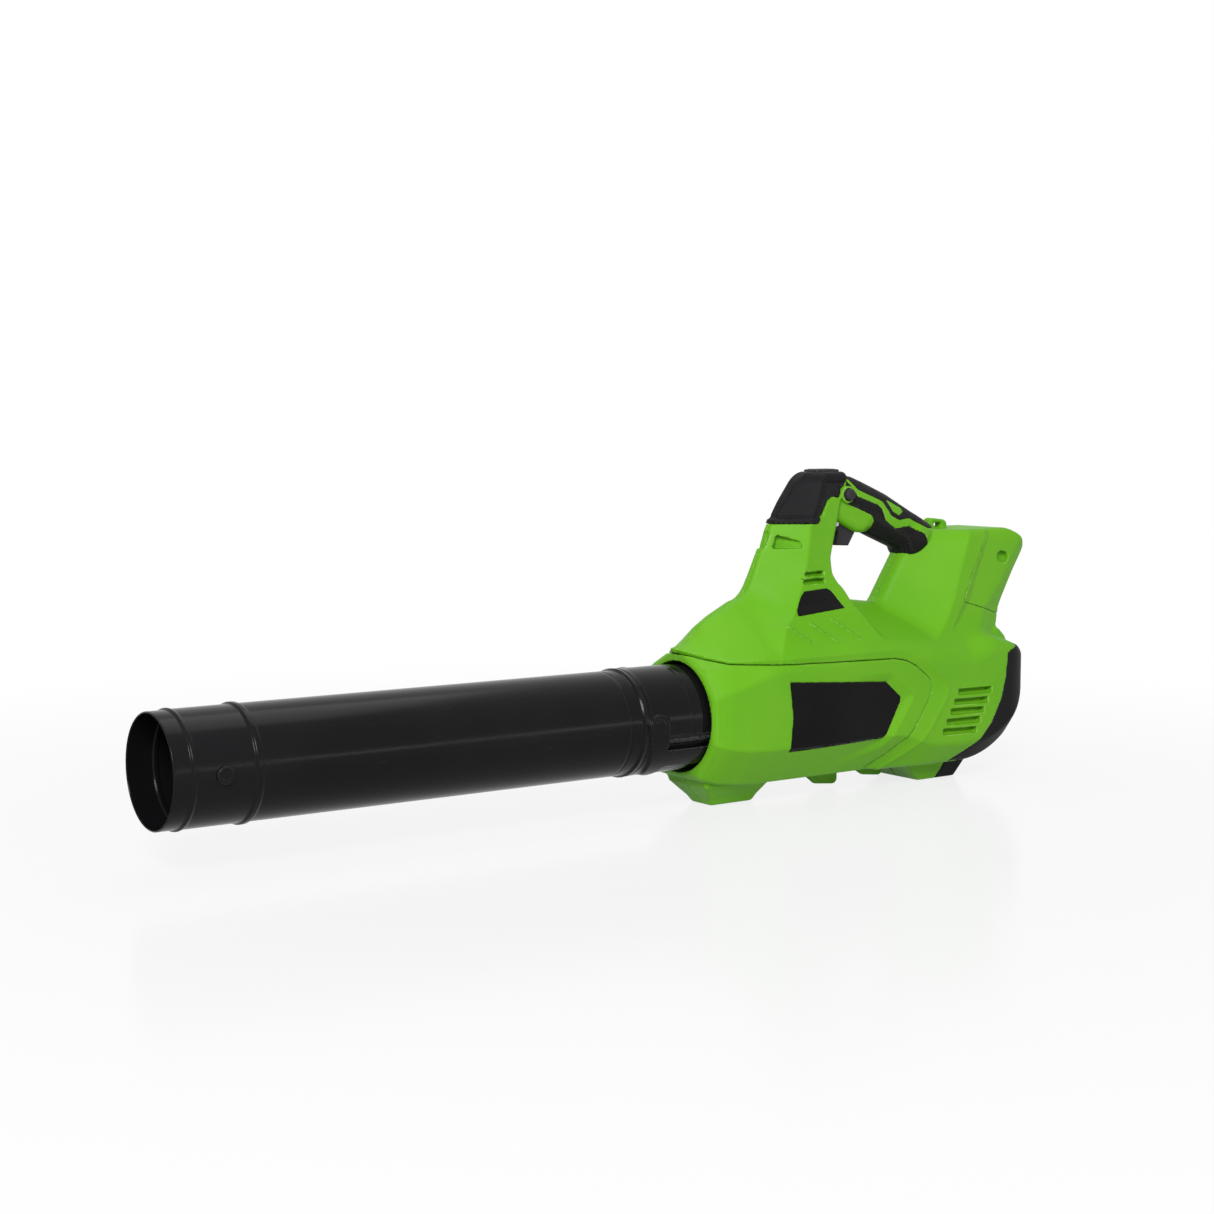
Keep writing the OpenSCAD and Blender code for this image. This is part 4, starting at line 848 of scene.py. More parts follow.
def rounded(points, r, n=5):
    """Profile with each inner corner turned into a quadratic curve that starts r before it."""
    p = np.array(points, float)
    out = [p[:1]]
    t = np.linspace(0, 1, n)[:, None]
    for a, b, c in zip(p, p[1:], p[2:]):
        cut_a = min(r, 0.45 * np.linalg.norm(a - b))
        cut_c = min(r, 0.45 * np.linalg.norm(c - b))
        start = b + (a - b) / np.linalg.norm(a - b) * cut_a
        end = b + (c - b) / np.linalg.norm(c - b) * cut_c
        out.append((1 - t) ** 2 * start + 2 * t * (1 - t) * b + t**2 * end)
    return np.concatenate(out + [p[-1:]])


def lathe(profile, turns):
    """Closed surface of a closed profile (along, radius) carried round the tube's axis. Points are
    (along, radius cos a, radius sin a); the normal is the profile's own, turned the same way."""
    q = np.array(profile, float)
    d = np.roll(q, -1, 0) - np.roll(q, 1, 0)
    normal = np.stack([-d[:, 1], d[:, 0]], 1) / np.maximum(np.linalg.norm(d, axis=1), 1e-9)[:, None]
    a = np.arange(turns) * 2 * np.pi / turns

    def spin(v):
        """Pairs (along, out) at every angle of the turn."""
        along, out = v[:, 0, None], v[:, 1, None]
        return np.stack(np.broadcast_arrays(along, out * np.cos(a), out * np.sin(a)), 2)

    p, g = spin(q).reshape(-1, 3), spin(normal).reshape(-1, 3)
    i, j = np.meshgrid(np.arange(len(q)), np.arange(turns), indexing="ij")
    i1, j1 = (i + 1) % len(q), (j + 1) % turns
    quads = np.stack([i * turns + j, i * turns + j1, i1 * turns + j1, i1 * turns + j], -1).reshape(-1, 4)
    return p, quads, g, np.zeros(len(p))


def mirror(mesh):
    """The same mesh on the other side of the middle plane, faces still outwards."""
    p, quads, g, bend = mesh
    flip = np.array([1, -1, 1])
    return p * flip, quads[:, ::-1], g * flip, bend


def join(*meshes):
    """Several meshes as one."""
    p, quads, g, bend = zip(*meshes)
    base = np.cumsum([0] + [len(part) for part in p[:-1]])
    quads = np.concatenate([part + first for part, first in zip(quads, base)])
    return np.concatenate(p), quads, np.concatenate(g), np.concatenate(bend)


def link(obj):
    """The object, put into the scene."""
    bpy.context.collection.objects.link(obj)
    return obj


def piece(name, mesh, body, slot, nodes):
    """Blender object of a mesh, riding a body, dressed, and standing for its CAD nodes."""
    p, quads, g, bend = mesh
    data = bpy.data.meshes.new(name)
    data.vertices.add(len(p))
    data.vertices.foreach_set("co", world(p).astype(np.float32).ravel())
    data.loops.add(quads.size)
    data.loops.foreach_set("vertex_index", quads.astype(np.int32).ravel())
    data.polygons.add(len(quads))
    data.polygons.foreach_set("loop_start", np.arange(0, quads.size, 4, dtype=np.int32))
    data.update(calc_edges=True)
    data.attributes.new("bend", "FLOAT", "POINT").data.foreach_set("value", bend.astype(np.float32))
    data.validate()
    g = g / np.maximum(np.linalg.norm(g, axis=1), 1e-9)[:, None]
    data.shade_smooth()
    data.normals_split_custom_set_from_vertices(g.tolist())
    obj = link(bpy.data.objects.new(name, data))
    data.materials.append(finish(slot))
    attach(obj, body)
    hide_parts(*nodes)


def barrel(turns):
    """Long plain part of the tube, with a lip, two beads and a step inside the mouth, as a turned profile."""
    end = -TUBE_LEN
    front, rear, join_x = end + 16, end + 68, -64
    out = [(end + 0.8, TUBE_R), (front - 2, TUBE_R), (front - 1, TUBE_R + 1.5), (front + 1, TUBE_R + 1.5),
           (front + 2, BARREL_R), (rear - 3.4, BARREL_R), (rear - 2, TUBE_R + 2), (rear + 2, TUBE_R + 2),
           (rear + 3.4, BARREL_R), (-82, BARREL_R), (-81, TUBE_R + 0.1), (-80, TUBE_R + 0.1),
           (-79, BARREL_R), (join_x, BARREL_R)]
    inside = [(join_x, BORE_R + 0.7), (-66.5, BORE_R + 0.7), (-67, BORE_R), (end + 26, BORE_R),
              (end + 25, BORE_R - 0.9), (end + 22, BORE_R - 0.9), (end + 21, BORE_R), (end + 0.8, BORE_R),
              (end, BORE_R + 0.5), (end, TUBE_R - 0.7)]
    ring = rounded(out + inside + [out[0]], 0.9, 6)
    longest = 9
    profile = [ring[0]]
    for a, b in zip(ring, ring[1:]):
        steps = max(1, int(np.linalg.norm(b - a) / longest))
        profile += [a + (b - a) * k / steps for k in range(1, steps + 1)]
    return lathe(np.array(profile)[:-1], turns)


# ---------------------------------------------------------------- materials
class Wire:
    """A node socket that arithmetic can be done on: each operator adds a Math node and returns its output."""

    def __init__(self, tree, socket):
        self.tree, self.socket = tree, socket

    def math(self, operation, *values):
        """What a Math node makes of the values."""
        return self.tree.add("ShaderNodeMath", {"operation": operation}, *values)

    def __add__(self, other):
        return self.math("ADD", self, other)

    def __sub__(self, other):
        return self.math("SUBTRACT", self, other)

    def __rsub__(self, other):
        return self.math("SUBTRACT", other, self)

    def __mul__(self, other):
        return self.math("MULTIPLY", self, other)

    __radd__, __rmul__ = __add__, __mul__

    def ramp(self, start, end):
        """0 where the value is at start, 1 at end, smooth between."""
        settings = {"interpolation_type": "SMOOTHSTEP"}
        return self.tree.add("ShaderNodeMapRange", settings, self, start, end, 0.0, 1.0)


class Tree:
    """Node tree of a new material or world, with the shader and the output that it starts with."""

    def __init__(self, block):
        block.use_nodes = True
        self.block, self.nodes, self.links = block, block.node_tree.nodes, block.node_tree.links
        self.output = next(node for node in self.nodes if "Output" in node.bl_idname)
        self.shader = next(node for node in self.nodes if node != self.output)

    def put(self, value, socket):
        """Links a socket to what comes out of a node, or sets it to a plain value."""
        if isinstance(value, Wire):
            self.links.new(value.socket, socket)
        else:
            socket.default_value = value

    def add(self, kind, settings, *values, out=0):
        """A node of any kind: its settings first, then what goes in its enabled inputs in order."""
        node = self.nodes.new(kind)
        for key, value in settings.items():
            setattr(node, key, value)
        for socket, value in zip([s for s in node.inputs if s.enabled], values):
            self.put(value, socket)
        return Wire(self, [s for s in node.outputs if s.enabled][out])

    def noise(self, scale, detail=2.0, at=None, rough=0.5):
        """Noise from 0 to 1, with so many waves to a metre."""
        at = at or self.object()
        return self.add("ShaderNodeTexNoise", {}, at, scale, detail, rough)

    def object(self):
        """Object coordinates, in metres."""
        return self.add("ShaderNodeTexCoord", {}, out=3)

    def bend(self):
        """How ridged (above 0) or hollow (below 0) the surface is, from the mesh's own attribute."""
        return self.add("ShaderNodeAttribute", {"attribute_name": "bend"}, out=2)

    def stretch(self, scale, turn=(0, 0, 0)):
        """Object coordinates turned and scaled along each axis."""
        return self.add("ShaderNodeMapping", {}, self.object(), (0, 0, 0), turn, scale)

    def mix(self, factor, a, b):
        """Colour between a and b."""
        return self.add("ShaderNodeMix", {"data_type": "RGBA"}, factor, a, b)

    def bump(self, height, distance, strength=1.0):
        """Normal tilted by a height field of the given depth in metres."""
        node = self.add("ShaderNodeBump", {})
        bump = node.socket.node
        bump.inputs["Strength"].default_value = strength
        bump.inputs["Distance"].default_value = distance
        self.put(height, bump.inputs["Height"])
        return node

    def seen(self):
        """1 for the rays of the camera, a mirror or glass, and 0 for those that only gather light."""
        ray = self.add("ShaderNodeLightPath", {})
        path = ray.socket.node
        for name in ("Is Glossy Ray", "Is Transmission Ray"):
            ray = ray.math("MAXIMUM", ray, Wire(self, path.outputs[name]))
        return ray

    def whiten(self, factor, kind):
        """Lays plain white light of a kind over the shader, as far as the factor says."""
        white = self.add(kind, {}, (1, 1, 1, 1), 1.0)
        both = self.add("ShaderNodeMixShader", {}, factor, Wire(self, self.shader.outputs[0]), white)
        self.put(both, self.output.inputs["Surface"])

    def finish(self, color, rough, normal=None, specular=0.45, metallic=0.0):
        """The material, with its shader's inputs filled."""
        self.put(color, self.shader.inputs["Base Color"])
        self.put(rough, self.shader.inputs["Roughness"])
        if normal is not None:
            self.put(normal, self.shader.inputs["Normal"])
        self.shader.inputs["Specular IOR Level"].default_value = specular
        self.shader.inputs["Metallic"].default_value = metallic
        return self.block


def rgb(*tone):
    """Linear colour of an 8-bit display colour, opaque."""
    linear = [((c / 255 + 0.055) / 1.055) ** 2.4 if c > 10 else c / 255 / 12.92 for c in tone]
    return (*linear, 1.0)


def green_plastic(tone, cloud_tone):
    """Bright moulded plastic: fine spark grain, slow clouds of colour, ridges paled by wear and by painted
    highlight, and painted shade in hollows.
    """
    t = Tree(bpy.data.materials.new("Green moulding"))
    cloud, grain = t.noise(9.0, 3.0), t.noise(1500.0, 3.0, rough=0.65)
    speck = t.noise(420.0, 1.0)
    base = t.mix(cloud.ramp(0.35, 0.65), tone, cloud_tone)
    base = t.mix(grain.ramp(0.3, 0.75) * 0.3, base, rgb(80, 144, 20))
    # Ridges paler: partly wear, partly a painted highlight on the crests.
    ridge = t.bend().ramp(0.35, 1.6) * speck.ramp(0.35, 0.6)
    base = t.mix(ridge * 0.35, base, rgb(176, 216, 120))
    # Hollows darker: painted shade where the surface bends inwards.
    hollow = (t.bend() * -1.0).ramp(0.5, 2.4)
    base = t.mix(hollow * 0.45, base, rgb(52, 92, 18))
    rough = 0.36 + grain * 0.14 + cloud * 0.08 - ridge * 0.08
    return t.finish(base, rough, t.bump(grain + speck * 0.4, 0.00022, 0.5), specular=0.16)


def tube_plastic(tone, cloud_tone):
    """Half-gloss black pipe: long faint drawing lines, handling scuffs and dust, and ridges paled by wear and
    by painted highlight.
    """
    t = Tree(bpy.data.materials.new("Tube plastic"))
    lines = t.noise(60.0, 4.0, t.stretch((0.25, 9.0, 9.0)))
    smear, speck = t.noise(14.0, 3.0), t.noise(900.0, 2.0)
    scuff = t.noise(55.0, 6.0, t.stretch((1.0, 3.0, 3.0)), 0.7).ramp(0.62, 0.74)
    base = t.mix(smear.ramp(0.3, 0.7), tone, cloud_tone)
    base = t.mix(scuff * 0.16, base, rgb(58, 57, 60))
    # Ridges paler: partly wear, partly a painted highlight on the crests.
    base = t.mix(t.bend().ramp(0.4, 2.0) * speck.ramp(0.4, 0.6) * 0.5, base, rgb(96, 95, 98))
    rough = 0.12 + smear * 0.08 + scuff * 0.16 + lines * 0.06
    return t.finish(base, rough, t.bump(lines * 0.6 + speck * 0.25, 0.00012, 0.4), specular=0.1)


def gloss_plastic(tone, cloud_tone):
    """Smooth inlay, with hairline marks and a little finger grease."""
    t = Tree(bpy.data.materials.new("Gloss inlay"))
    marks = t.noise(240.0, 5.0, t.stretch((0.5, 1.0, 6.0), (0, 0.5, 0))).ramp(0.6, 0.72)
    grease = t.noise(40.0, 2.0)
    base = t.mix(grease.ramp(0.4, 0.7), tone, cloud_tone)
    rough = 0.2 + marks * 0.12 + grease * 0.1
    return t.finish(base, rough, t.bump(t.noise(120.0, 2.0), 0.00008, 0.25), specular=0.07)


def dark_moulding(name, tone, cloud_tone, rough, grain_size=1500.0):
    """Matte dark moulding: spark grain, clouds of tone, and ridges paled by rubbing and by painted highlight.
    """
    t = Tree(bpy.data.materials.new(name))
    cloud, grain = t.noise(22.0, 3.0), t.noise(grain_size, 3.0, rough=0.65)
    base = t.mix(cloud.ramp(0.3, 0.7), tone, cloud_tone)
    # Ridges paler: partly wear, partly a painted highlight on the crests.
    ridge = t.bend().ramp(0.3, 1.6) * t.noise(300.0, 2.0).ramp(0.3, 0.6)
    base = t.mix(ridge * 0.3, base, rgb(78, 77, 80))
    value = rough + grain * 0.14 + cloud * 0.06 - ridge * 0.1
    return t.finish(base, value, t.bump(grain, 0.0002, 0.5), specular=0.08)


def soft_rubber(tone, edge_tone):
    """Soft overmould with a fine pressed cell pattern: distance to the cells' edges of a Voronoi lattice."""
    t = Tree(bpy.data.materials.new("Soft overmould"))
    plane = t.stretch((1.0, 0.35, 1.0), (0, GRIP_TILT, 0))
    cells = t.add("ShaderNodeTexVoronoi", {"feature": "DISTANCE_TO_EDGE"}, plane, 420.0)
    cells.socket.node.inputs["Randomness"].default_value = 0.18
    wall = cells.ramp(0.02, 0.16)
    dust = t.noise(70.0, 4.0).ramp(0.4, 0.75)
    base = t.mix(wall, edge_tone, tone)
    base = t.mix(dust * 0.22, base, rgb(42, 41, 41))
    # Ridges paler: partly wear, partly a painted highlight on the crests.
    base = t.mix(t.bend().ramp(0.4, 2.0) * 0.3, base, rgb(70, 68, 69))
    rough = 0.56 + dust * 0.14 - wall * 0.06
    height = (1.0 - wall) + t.noise(1800.0, 2.0) * 0.25
    return t.finish(base, rough, t.bump(height, 0.00035, 0.7), specular=0.08)


def turned_metal(name, tone, stain_tone, rough):
    """Machined metal: fine rings round the tube's axis, with a few darker stains."""
    t = Tree(bpy.data.materials.new(name))
    rings = t.noise(900.0, 3.0, t.stretch((1.0, 0.05, 0.05)))
    stain = t.noise(35.0, 4.0).ramp(0.5, 0.8)
    base = t.mix(stain * 0.5, t.mix(rings.ramp(0.3, 0.7), tone, stain_tone), stain_tone)
    value = rough + rings * 0.16 + stain * 0.12
    return t.finish(base, value, t.bump(rings, 0.0001, 0.35), metallic=1.0)


def board_lacquer():
    """Lacquered board with tracks that show through as paler lines."""
    t = Tree(bpy.data.materials.new("Board lacquer"))
    cells = t.add("ShaderNodeTexVoronoi", {"feature": "DISTANCE_TO_EDGE"}, t.object(), 260.0)
    track = cells.ramp(0.08, 0.05)
    base = t.mix(track, rgb(22, 66, 34), rgb(52, 110, 60))
    rough = 0.28 + t.noise(300.0) * 0.15
    return t.finish(base, rough, t.bump(track, 0.0001, 0.5), specular=0.5)


def make_materials(c):
    """Every finish by its slot's name, from the chosen colours where there are any."""
    inner, inner_pale = rgb(30, 30, 31), rgb(38, 38, 39)
    return {
        "green": green_plastic(c.green, c.green_cloud),
        "tube_black": tube_plastic(c.tube, c.tube_cloud),
        "gloss_black": gloss_plastic(c.inlay, c.inlay_cloud),
        "hood_black": dark_moulding("Hood moulding", c.hood, c.hood_cloud, 0.42),
        "button_grey": dark_moulding("Button plastic", c.button, c.button_cloud, 0.4, 1100.0),
        "soft_grip": soft_rubber(c.rubber, c.rubber_edge),
        "inner_black": dark_moulding("Inner moulding", inner, inner_pale, 0.5, 700.0),
        "steel": turned_metal("Steel", rgb(196, 198, 202), rgb(140, 142, 147), 0.28),
        "copper": turned_metal("Copper winding", rgb(196, 130, 74), rgb(120, 70, 36), 0.34),
        "contact_brass": turned_metal("Contact brass", rgb(214, 178, 104), rgb(150, 116, 58), 0.26),
        "board_green": board_lacquer(),
    }


FINISH = {}


def finish(slot):
    """Finish of a slot. All of them are made when the first one is asked for."""
    if not FINISH:
        FINISH.update(make_materials(bpy.context.scene.blower_colors))
    return FINISH[slot]


# ---------------------------------------------------------------- pieces
class Sizes:
    """The user's sizes in millimetres, rounded because a property is kept in single precision."""

    def __init__(self, settings):
        for key in ("cell", "seam", "hood_wall", "rubber", "grille_pitch"):
            setattr(self, key, round(getattr(settings, key) / MM, 4))
        self.turns = settings.turns


def halves(field, lo, hi, cell):
    """Side and mesh of a field of the +Y half and of its mirror image."""
    mesh = skin(field, lo, hi, cell)
    return ("left", mirror(mesh)), ("right", mesh)


def split_moulding(form, name, lo, hi, p):
    """A green moulding in two halves, of which only the right one has screw wells."""
    left = mirror(skin(partial(form, p, False), lo, hi, p.cell))
    right = skin(partial(form, p, True), lo, hi, p.cell)
    for side, mesh in (("left", left), ("right", right)):
        piece(f"{name}_{side}_moulding", mesh, "machine", "green", (f"{name}_{side}",))


def build_tube(p):
    """Blow tube: barrel, collar and the two nubs by the mouth."""
    piece("tube_barrel", barrel(p.turns), "tube", "tube_black", ("blow_tube",))
    mesh = skin(collar, (-73, -51, -51), (30, 51, 51), p.cell * 0.85)
    piece("tube_collar", mesh, "tube", "tube_black", ("blow_tube",))
    form = skin(nub, (NUB_X - 9, 41, -9), (NUB_X + 9, 50, 9), 0.6)
    piece("tube_nubs", join(form, mirror(form)), "tube", "tube_black", ("blow_tube",))


def build_covers(p):
    """Side covers and the front foot."""
    split_moulding(cover, "cover", (-3, -3, FOOT_Z - 3), (256, HALF_W + 4, 64), p)


def build_housings(p):
    """Both halves of the green housing."""
    split_moulding(housing, "housing", (-3, -3, FOOT_Z - 3), (TAIL_END + 8, HALF_W + 4, 214), p)


def build_badges(p):
    """Four bare inlays."""
    side_field, post_field = partial(badge, SIDE_BADGE, cover_skin), partial(badge, POST_BADGE, trunk)
    side = halves(side_field, (74, 40, -36), (217, HALF_W + 3, 35), p.cell * 0.65)
    post = halves(post_field, (104, 20, 80), (168, 50, 112), p.cell * 0.5)
    for name, pair in (("side", side), ("post", post)):
        for hand, mesh in pair:
            node = f"{name}_badge_{hand}"
            piece(f"{node}_inlay", mesh, "machine", "gloss_black", (node,))


def build_handle(p):
    """Hood, overmould halves and trigger group."""
    mesh = skin(partial(hood, p), (88, -30, 160), (196, 30, 216), p.cell * 0.8)
    piece("hood_shell", mesh, "machine", "hood_black", ("handle_cap",))
    for hand, mesh in halves(partial(overmould, p), (166, -3, 112), (302, 28, 222), p.cell * 0.65):
        piece(f"grip_{hand}_overmould", mesh, "machine", "soft_grip", (f"grip_{hand}",))
    mesh = skin(trigger_form, (168, -9, 139), (207, 9, 172), 0.8)
    piece("trigger_lever", mesh, "trigger", "button_grey", ("trigger",))
    mesh = skin(turbo_pad, (149, -12, 196), (183, 12, 216), 0.7)
    piece("turbo_pad", mesh, "turbo", "button_grey", ("turbo_button",))


def build_lock():
    """Cross-bolt that locks the trigger."""
    x, z = LOCK_AT
    reach = LOCK_REACH + 1.5
    mesh = skin(lock_bolt, (x - 7, -reach, z - 7), (x + 7, reach, z + 7), 0.7)
    piece("lock_bolt", mesh, "lock", "button_grey", ("lock_button",))


def build_dock(p):
    """Battery dock."""
    mesh = skin(dock, (296, -46, 58), (TAIL_END + 14, 46, 160), p.cell * 0.9)
    piece("battery_dock_frame", mesh, "machine", "green", ("battery_dock",))


def build_grille(p):
    """Intake grille."""
    wide = HALF_W + 3
    mesh = skin(partial(grille, p), (240, -wide, FOOT_Z - 3), (TAIL_END + 3, wide, 62), p.cell * 0.8)
    piece("intake_grille_tail", mesh, "machine", "hood_black", ("intake_grille",))


INNER = {
    "inner_black": ["tube_spigot", "fan_duct", "tail_cone", "fan", "motor_end_cap", "switch_body",
                    "terminal_block"],
    "steel": ["motor_can", "motor_shaft", "front_bearing", "rear_bearing", "fan_nut", "housing_screws",
              "grille_screws", "turbo_spring", "trigger_pin"],
    "copper": ["rotor"],
    "contact_brass": ["terminals"],
    "board_green": ["control_board"],
}


def dress_inner_parts():
    """Finishes on the inner parts, which keep their own solids."""
    for slot, names in INNER.items():
        for name in names:
            obj = frame["nodes"][name]
            obj.data.materials.clear()
            obj.data.materials.append(finish(slot))


# ---------------------------------------------------------------- stage, light and camera
def lamp(name, place, aim, size, power, height=None):
    """Area lamp at a place, turned to a point: square, or a strip of the given height."""
    data = bpy.data.lights.new(name, "AREA")
    data.shape, data.size, data.size_y, data.energy = "RECTANGLE", size, height or size, power
    obj = link(bpy.data.objects.new(name, data))
    obj.location = place
    obj.rotation_euler = (Vector(aim) - Vector(place)).to_track_quat("-Z", "Y").to_euler()


def floor_material():
    """Pale grey, which turns into plain white for the camera, a mirror or glass. Near the object a fifth of
    the grey stays, so that the floor keeps a soft shadow there."""
    t = Tree(bpy.data.materials.new("Studio floor"))
    grain = t.noise(30.0, 3.0)
    grey = t.mix(grain, (0.62, 0.62, 0.62, 1), (0.66, 0.66, 0.66, 1))
    t.finish(grey, 0.16 + grain * 0.04, specular=0.35)
    away = t.add("ShaderNodeVectorMath", {"operation": "LENGTH"}, t.stretch((1.0, 1.0, 0.0)))
    near = 1.0 - away.ramp(0.35, 1.25)
    t.whiten(t.seen() * (1.0 - near * 0.2), "ShaderNodeEmission")
    return t.block


def stage_floor():
    """Wide square floor, a hair below the feet so that it doesn't cut them."""
    reach, drop = 30.0, 0.0004
    x, y = np.meshgrid(np.array([-reach, reach]), np.array([-reach, reach]), indexing="ij")
    verts = np.stack([x.ravel(), y.ravel(), np.full(4, -drop)], 1)
    data = bpy.data.meshes.new("studio_floor")
    data.from_pydata(verts.tolist(), [], [(0, 2, 3, 1)])
    data.materials.append(floor_material())
    floor = link(bpy.data.objects.new("studio_floor", data))


def white_world(strength):
    """Soft grey sky for light, and plain white where the camera, a mirror or glass looks at it."""
    t = Tree(bpy.data.worlds.new("Studio sky"))
    t.put((0.8, 0.83, 0.86, 1), t.shader.inputs["Color"])
    t.put(strength, t.shader.inputs["Strength"])
    t.whiten(t.seen(), "ShaderNodeBackground")
    bpy.context.scene.world = t.block


def build_stage(s):
    """Floor, sky, lamps and the camera."""
    stage_floor()
    white_world(s.sky)
    lamp("key", (-2.0, -2.2, 1.9), (0.1, 0, 0.1), 1.1, s.key)
    lamp("fill", (-2.6, 0.6, 1.2), (0.0, 0, 0.1), 1.4, s.fill)
    lamp("top", (0.3, 0.5, 2.3), (0.2, 0, 0.1), 1.6, s.top)
    lamp("strip", (0.82, -1.72, 0.25), (-0.2, 0, 0.08), 2.4, s.strip, 0.05)
    data = bpy.data.cameras.new("view")
    data.lens, data.sensor_width = s.lens, 36.0
    camera = link(bpy.data.objects.new("view", data))
    turn = (84.817, 0, -35.669)
    camera.location = (-1.0376, -1.4014, 0.3362)
    camera.rotation_euler = [math.radians(angle) for angle in turn]
    bpy.context.scene.camera = camera
    bpy.context.scene.view_settings.view_transform = "Standard"


# ---------------------------------------------------------------- add-on
def length(label, note, millimetres, low_mm, high_mm):
    """Property for a length, kept in metres."""
    return bpy.props.FloatProperty(
        name=label, description=note, default=millimetres * MM, min=low_mm * MM, max=high_mm * MM,
        precision=4, unit="LENGTH",
    )


def color(label, note, *tone):
    """Property for a colour, from its 8-bit display values."""
    return bpy.props.FloatVectorProperty(
        name=label, description=note, default=rgb(*tone), size=4, min=0.0, max=1.0, subtype="COLOR",
    )


def power(label, note, watts):
    """Property for a lamp's power."""
    return bpy.props.FloatProperty(name=label, description=note, default=watts, min=0.0, unit="POWER")


class BlowerSizes(bpy.types.PropertyGroup):
    """Sizes of the mouldings."""

    cell: length("Cell", "Grid cell of the moulded skins", 1.6, 1.0, 5.0)
    turns: bpy.props.IntProperty(
        name="Turns", description="Faces round the barrel of the tube", default=160, min=24, max=720,
    )
    seam: length("Seam", "Gap on each side of the seam between housing and covers", 0.3, 0.0, 1.5)
    hood_wall: length("Hood wall", "Wall of the hood over the handle's head", 2.8, 1.0, 5.0)
    rubber: length("Overmould", "Thickness of the soft overmould on the grip", 2.0, 0.8, 4.0)
    grille_pitch: length("Grille pitch", "Height from one intake slot to the next", 7.4, 5.0, 20.0)


class BlowerColors(bpy.types.PropertyGroup):
    """Colours of the finishes: each has a main tone and one that it clouds into."""

    green: color("Green", "Housing, covers and dock", 98, 168, 23)
    green_cloud: color("Green, clouded", "Paler tone of the green mouldings", 106, 173, 30)
    tube: color("Tube", "Blow tube and collar", 15, 14, 15)
    tube_cloud: color("Tube, clouded", "Paler tone of the blow tube", 19, 18, 20)
    inlay: color("Inlay", "Inlays of the covers and the post", 11, 11, 11)
    inlay_cloud: color("Inlay, clouded", "Paler tone of the inlays", 14, 14, 14)
    hood: color("Hood", "Hood and intake grille", 19, 18, 20)
    hood_cloud: color("Hood, clouded", "Paler tone of the hood and grille", 24, 23, 25)
    button: color("Buttons", "Trigger, lock bolt and turbo pad", 44, 42, 45)
    button_cloud: color("Buttons, clouded", "Paler tone of the buttons", 52, 50, 53)
    rubber: color("Overmould", "Cells of the soft overmould", 17, 16, 17)
    rubber_edge: color("Overmould, edges", "Lines between the overmould's cells", 34, 33, 34)


class BlowerStage(bpy.types.PropertyGroup):
    """Light and camera."""

    key: power("Key lamp", "Power of the lamp in front, on the left", 112.0)
    fill: power("Fill lamp", "Power of the lamp behind, on the left", 5.0)
    top: power("Top lamp", "Power of the lamp overhead", 13.0)
    strip: power("Strip lamp", "Power of the long low strip that draws a line on the tube", 3.5)
    sky: bpy.props.FloatProperty(name="Sky", description="Strength of the soft sky", default=0.26, min=0.0)
    lens: bpy.props.FloatProperty(
        name="Lens", description="Focal length of the camera", default=60.65, min=10.0, unit="CAMERA",
    )


class BLOWER_OT_tube(bpy.types.Operator):
    """Blow tube: barrel, collar and the two nubs by the mouth"""

    bl_idname = "blower.tube"
    bl_label = "Blow tube"

    def execute(self, context):
        build_tube(Sizes(context.scene.blower))
        return {"FINISHED"}


class BLOWER_OT_covers(bpy.types.Operator):
    """Side covers with the front foot"""

    bl_idname = "blower.covers"
    bl_label = "Side covers"

    def execute(self, context):
        build_covers(Sizes(context.scene.blower))
        return {"FINISHED"}


class BLOWER_OT_housings(bpy.types.Operator):
    """Both halves of the green housing"""

    bl_idname = "blower.housings"
    bl_label = "Housing halves"

    def execute(self, context):
        build_housings(Sizes(context.scene.blower))
        return {"FINISHED"}


class BLOWER_OT_badges(bpy.types.Operator):
    """Four bare inlays in the covers and the post"""

    bl_idname = "blower.badges"
    bl_label = "Inlays"

    def execute(self, context):
        build_badges(Sizes(context.scene.blower))
        return {"FINISHED"}


class BLOWER_OT_handle(bpy.types.Operator):
    """Hood, soft overmould, trigger and turbo pad"""

    bl_idname = "blower.handle"
    bl_label = "Handle"

    def execute(self, context):
        build_handle(Sizes(context.scene.blower))
        return {"FINISHED"}


class BLOWER_OT_lock(bpy.types.Operator):
    """Cross-bolt that locks the trigger"""

    bl_idname = "blower.lock"
    bl_label = "Lock bolt"

    def execute(self, context):
        build_lock()
        return {"FINISHED"}


class BLOWER_OT_dock(bpy.types.Operator):
    """Battery dock with its rails"""

    bl_idname = "blower.dock"
    bl_label = "Battery dock"

    def execute(self, context):
        build_dock(Sizes(context.scene.blower))
        return {"FINISHED"}


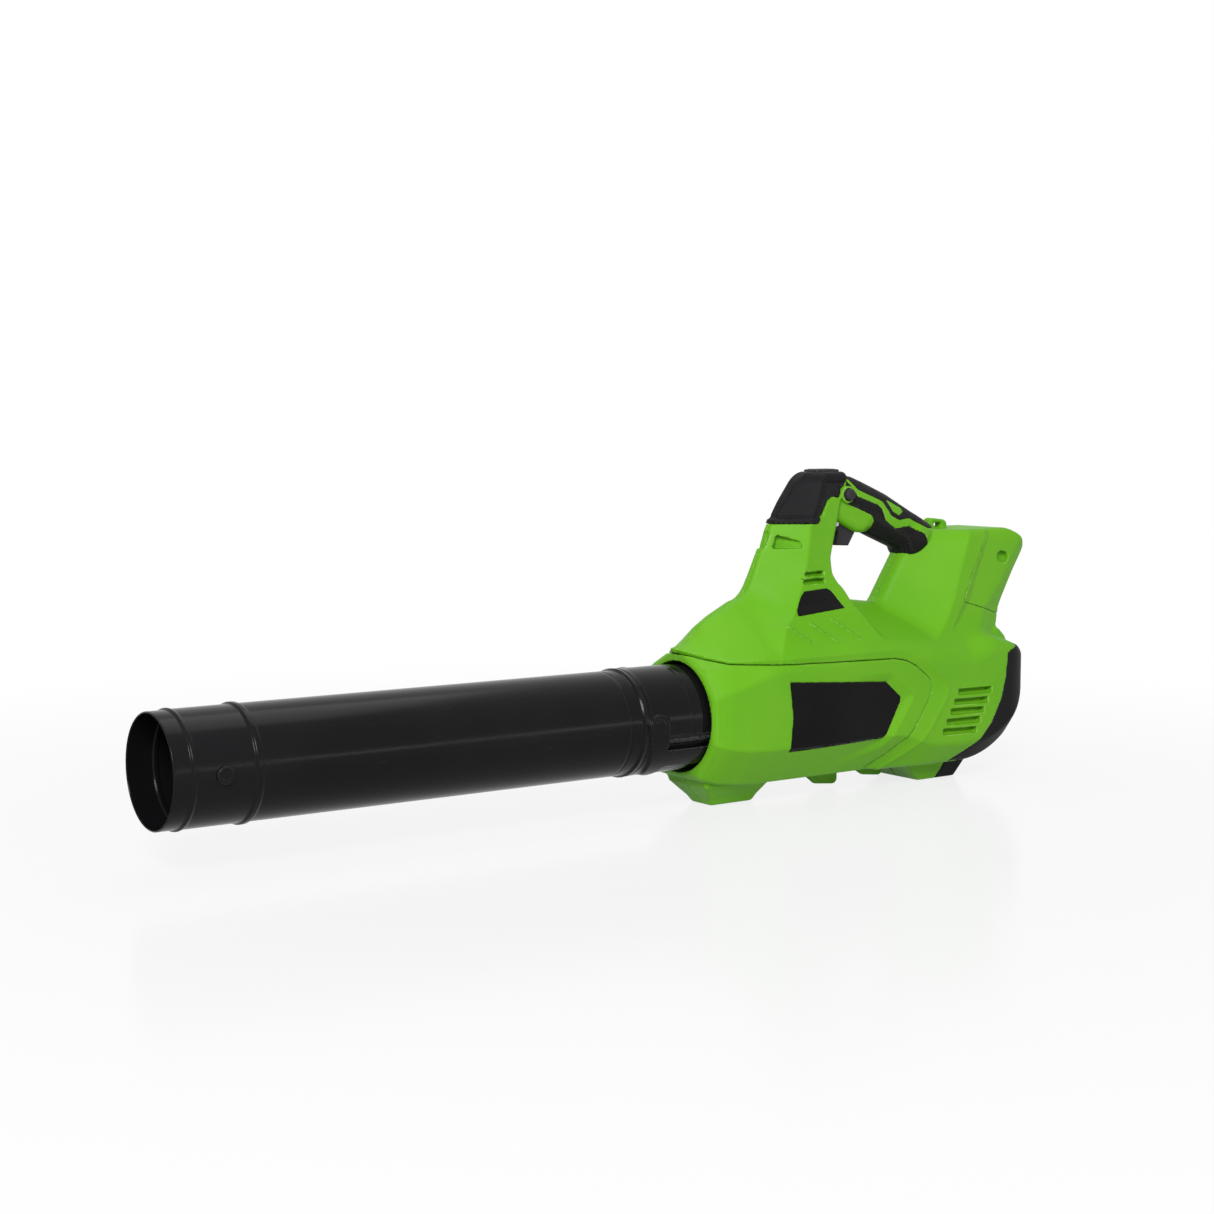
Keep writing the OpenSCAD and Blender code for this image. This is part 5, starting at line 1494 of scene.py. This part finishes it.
class BLOWER_OT_grille(bpy.types.Operator):
    """Black tail with the intake's slots"""

    bl_idname = "blower.grille"
    bl_label = "Intake grille"

    def execute(self, context):
        build_grille(Sizes(context.scene.blower))
        return {"FINISHED"}


class BLOWER_OT_inner(bpy.types.Operator):
    """Finishes on the inner parts"""

    bl_idname = "blower.inner"
    bl_label = "Inner parts"

    def execute(self, context):
        dress_inner_parts()
        return {"FINISHED"}


class BLOWER_OT_stage(bpy.types.Operator):
    """Floor, sky, lamps and camera"""

    bl_idname = "blower.stage"
    bl_label = "Stage"

    def execute(self, context):
        build_stage(context.scene.blower_stage)
        return {"FINISHED"}


OPERATORS = [
    BLOWER_OT_tube,
    BLOWER_OT_covers,
    BLOWER_OT_housings,
    BLOWER_OT_badges,
    BLOWER_OT_handle,
    BLOWER_OT_lock,
    BLOWER_OT_dock,
    BLOWER_OT_grille,
    BLOWER_OT_inner,
    BLOWER_OT_stage,
]


class BLOWER_PT_panel(bpy.types.Panel):
    """Lists the sizes, the colours, the stage and the operators in the order they run."""

    bl_idname = "BLOWER_PT_panel"
    bl_label = "Blower"
    bl_space_type = "VIEW_3D"
    bl_region_type = "UI"
    bl_category = "Blower"

    def draw(self, context):
        scene = context.scene
        for group in (scene.blower, scene.blower_colors, scene.blower_stage):
            column = self.layout.column(align=True)
            for key in type(group).__annotations__:
                column.prop(group, key)
        for kind in OPERATORS:
            self.layout.operator(kind.bl_idname)


GROUPS = {"blower": BlowerSizes, "blower_colors": BlowerColors, "blower_stage": BlowerStage}
CLASSES = [*GROUPS.values(), *OPERATORS, BLOWER_PT_panel]


def register():
    """Adds the classes, and the three groups of settings to the scene."""
    for kind in CLASSES:
        bpy.utils.register_class(kind)
    for name, kind in GROUPS.items():
        setattr(bpy.types.Scene, name, bpy.props.PointerProperty(type=kind))


def unregister():
    """Takes the settings and the classes away again."""
    for name in GROUPS:
        delattr(bpy.types.Scene, name)
    for kind in reversed(CLASSES):
        bpy.utils.unregister_class(kind)


def main():
    """Builds everything in order."""
    register()
    for kind in OPERATORS:
        group, name = kind.bl_idname.split(".")
        getattr(getattr(bpy.ops, group), name)()


if __name__ == "__main__":
    main()
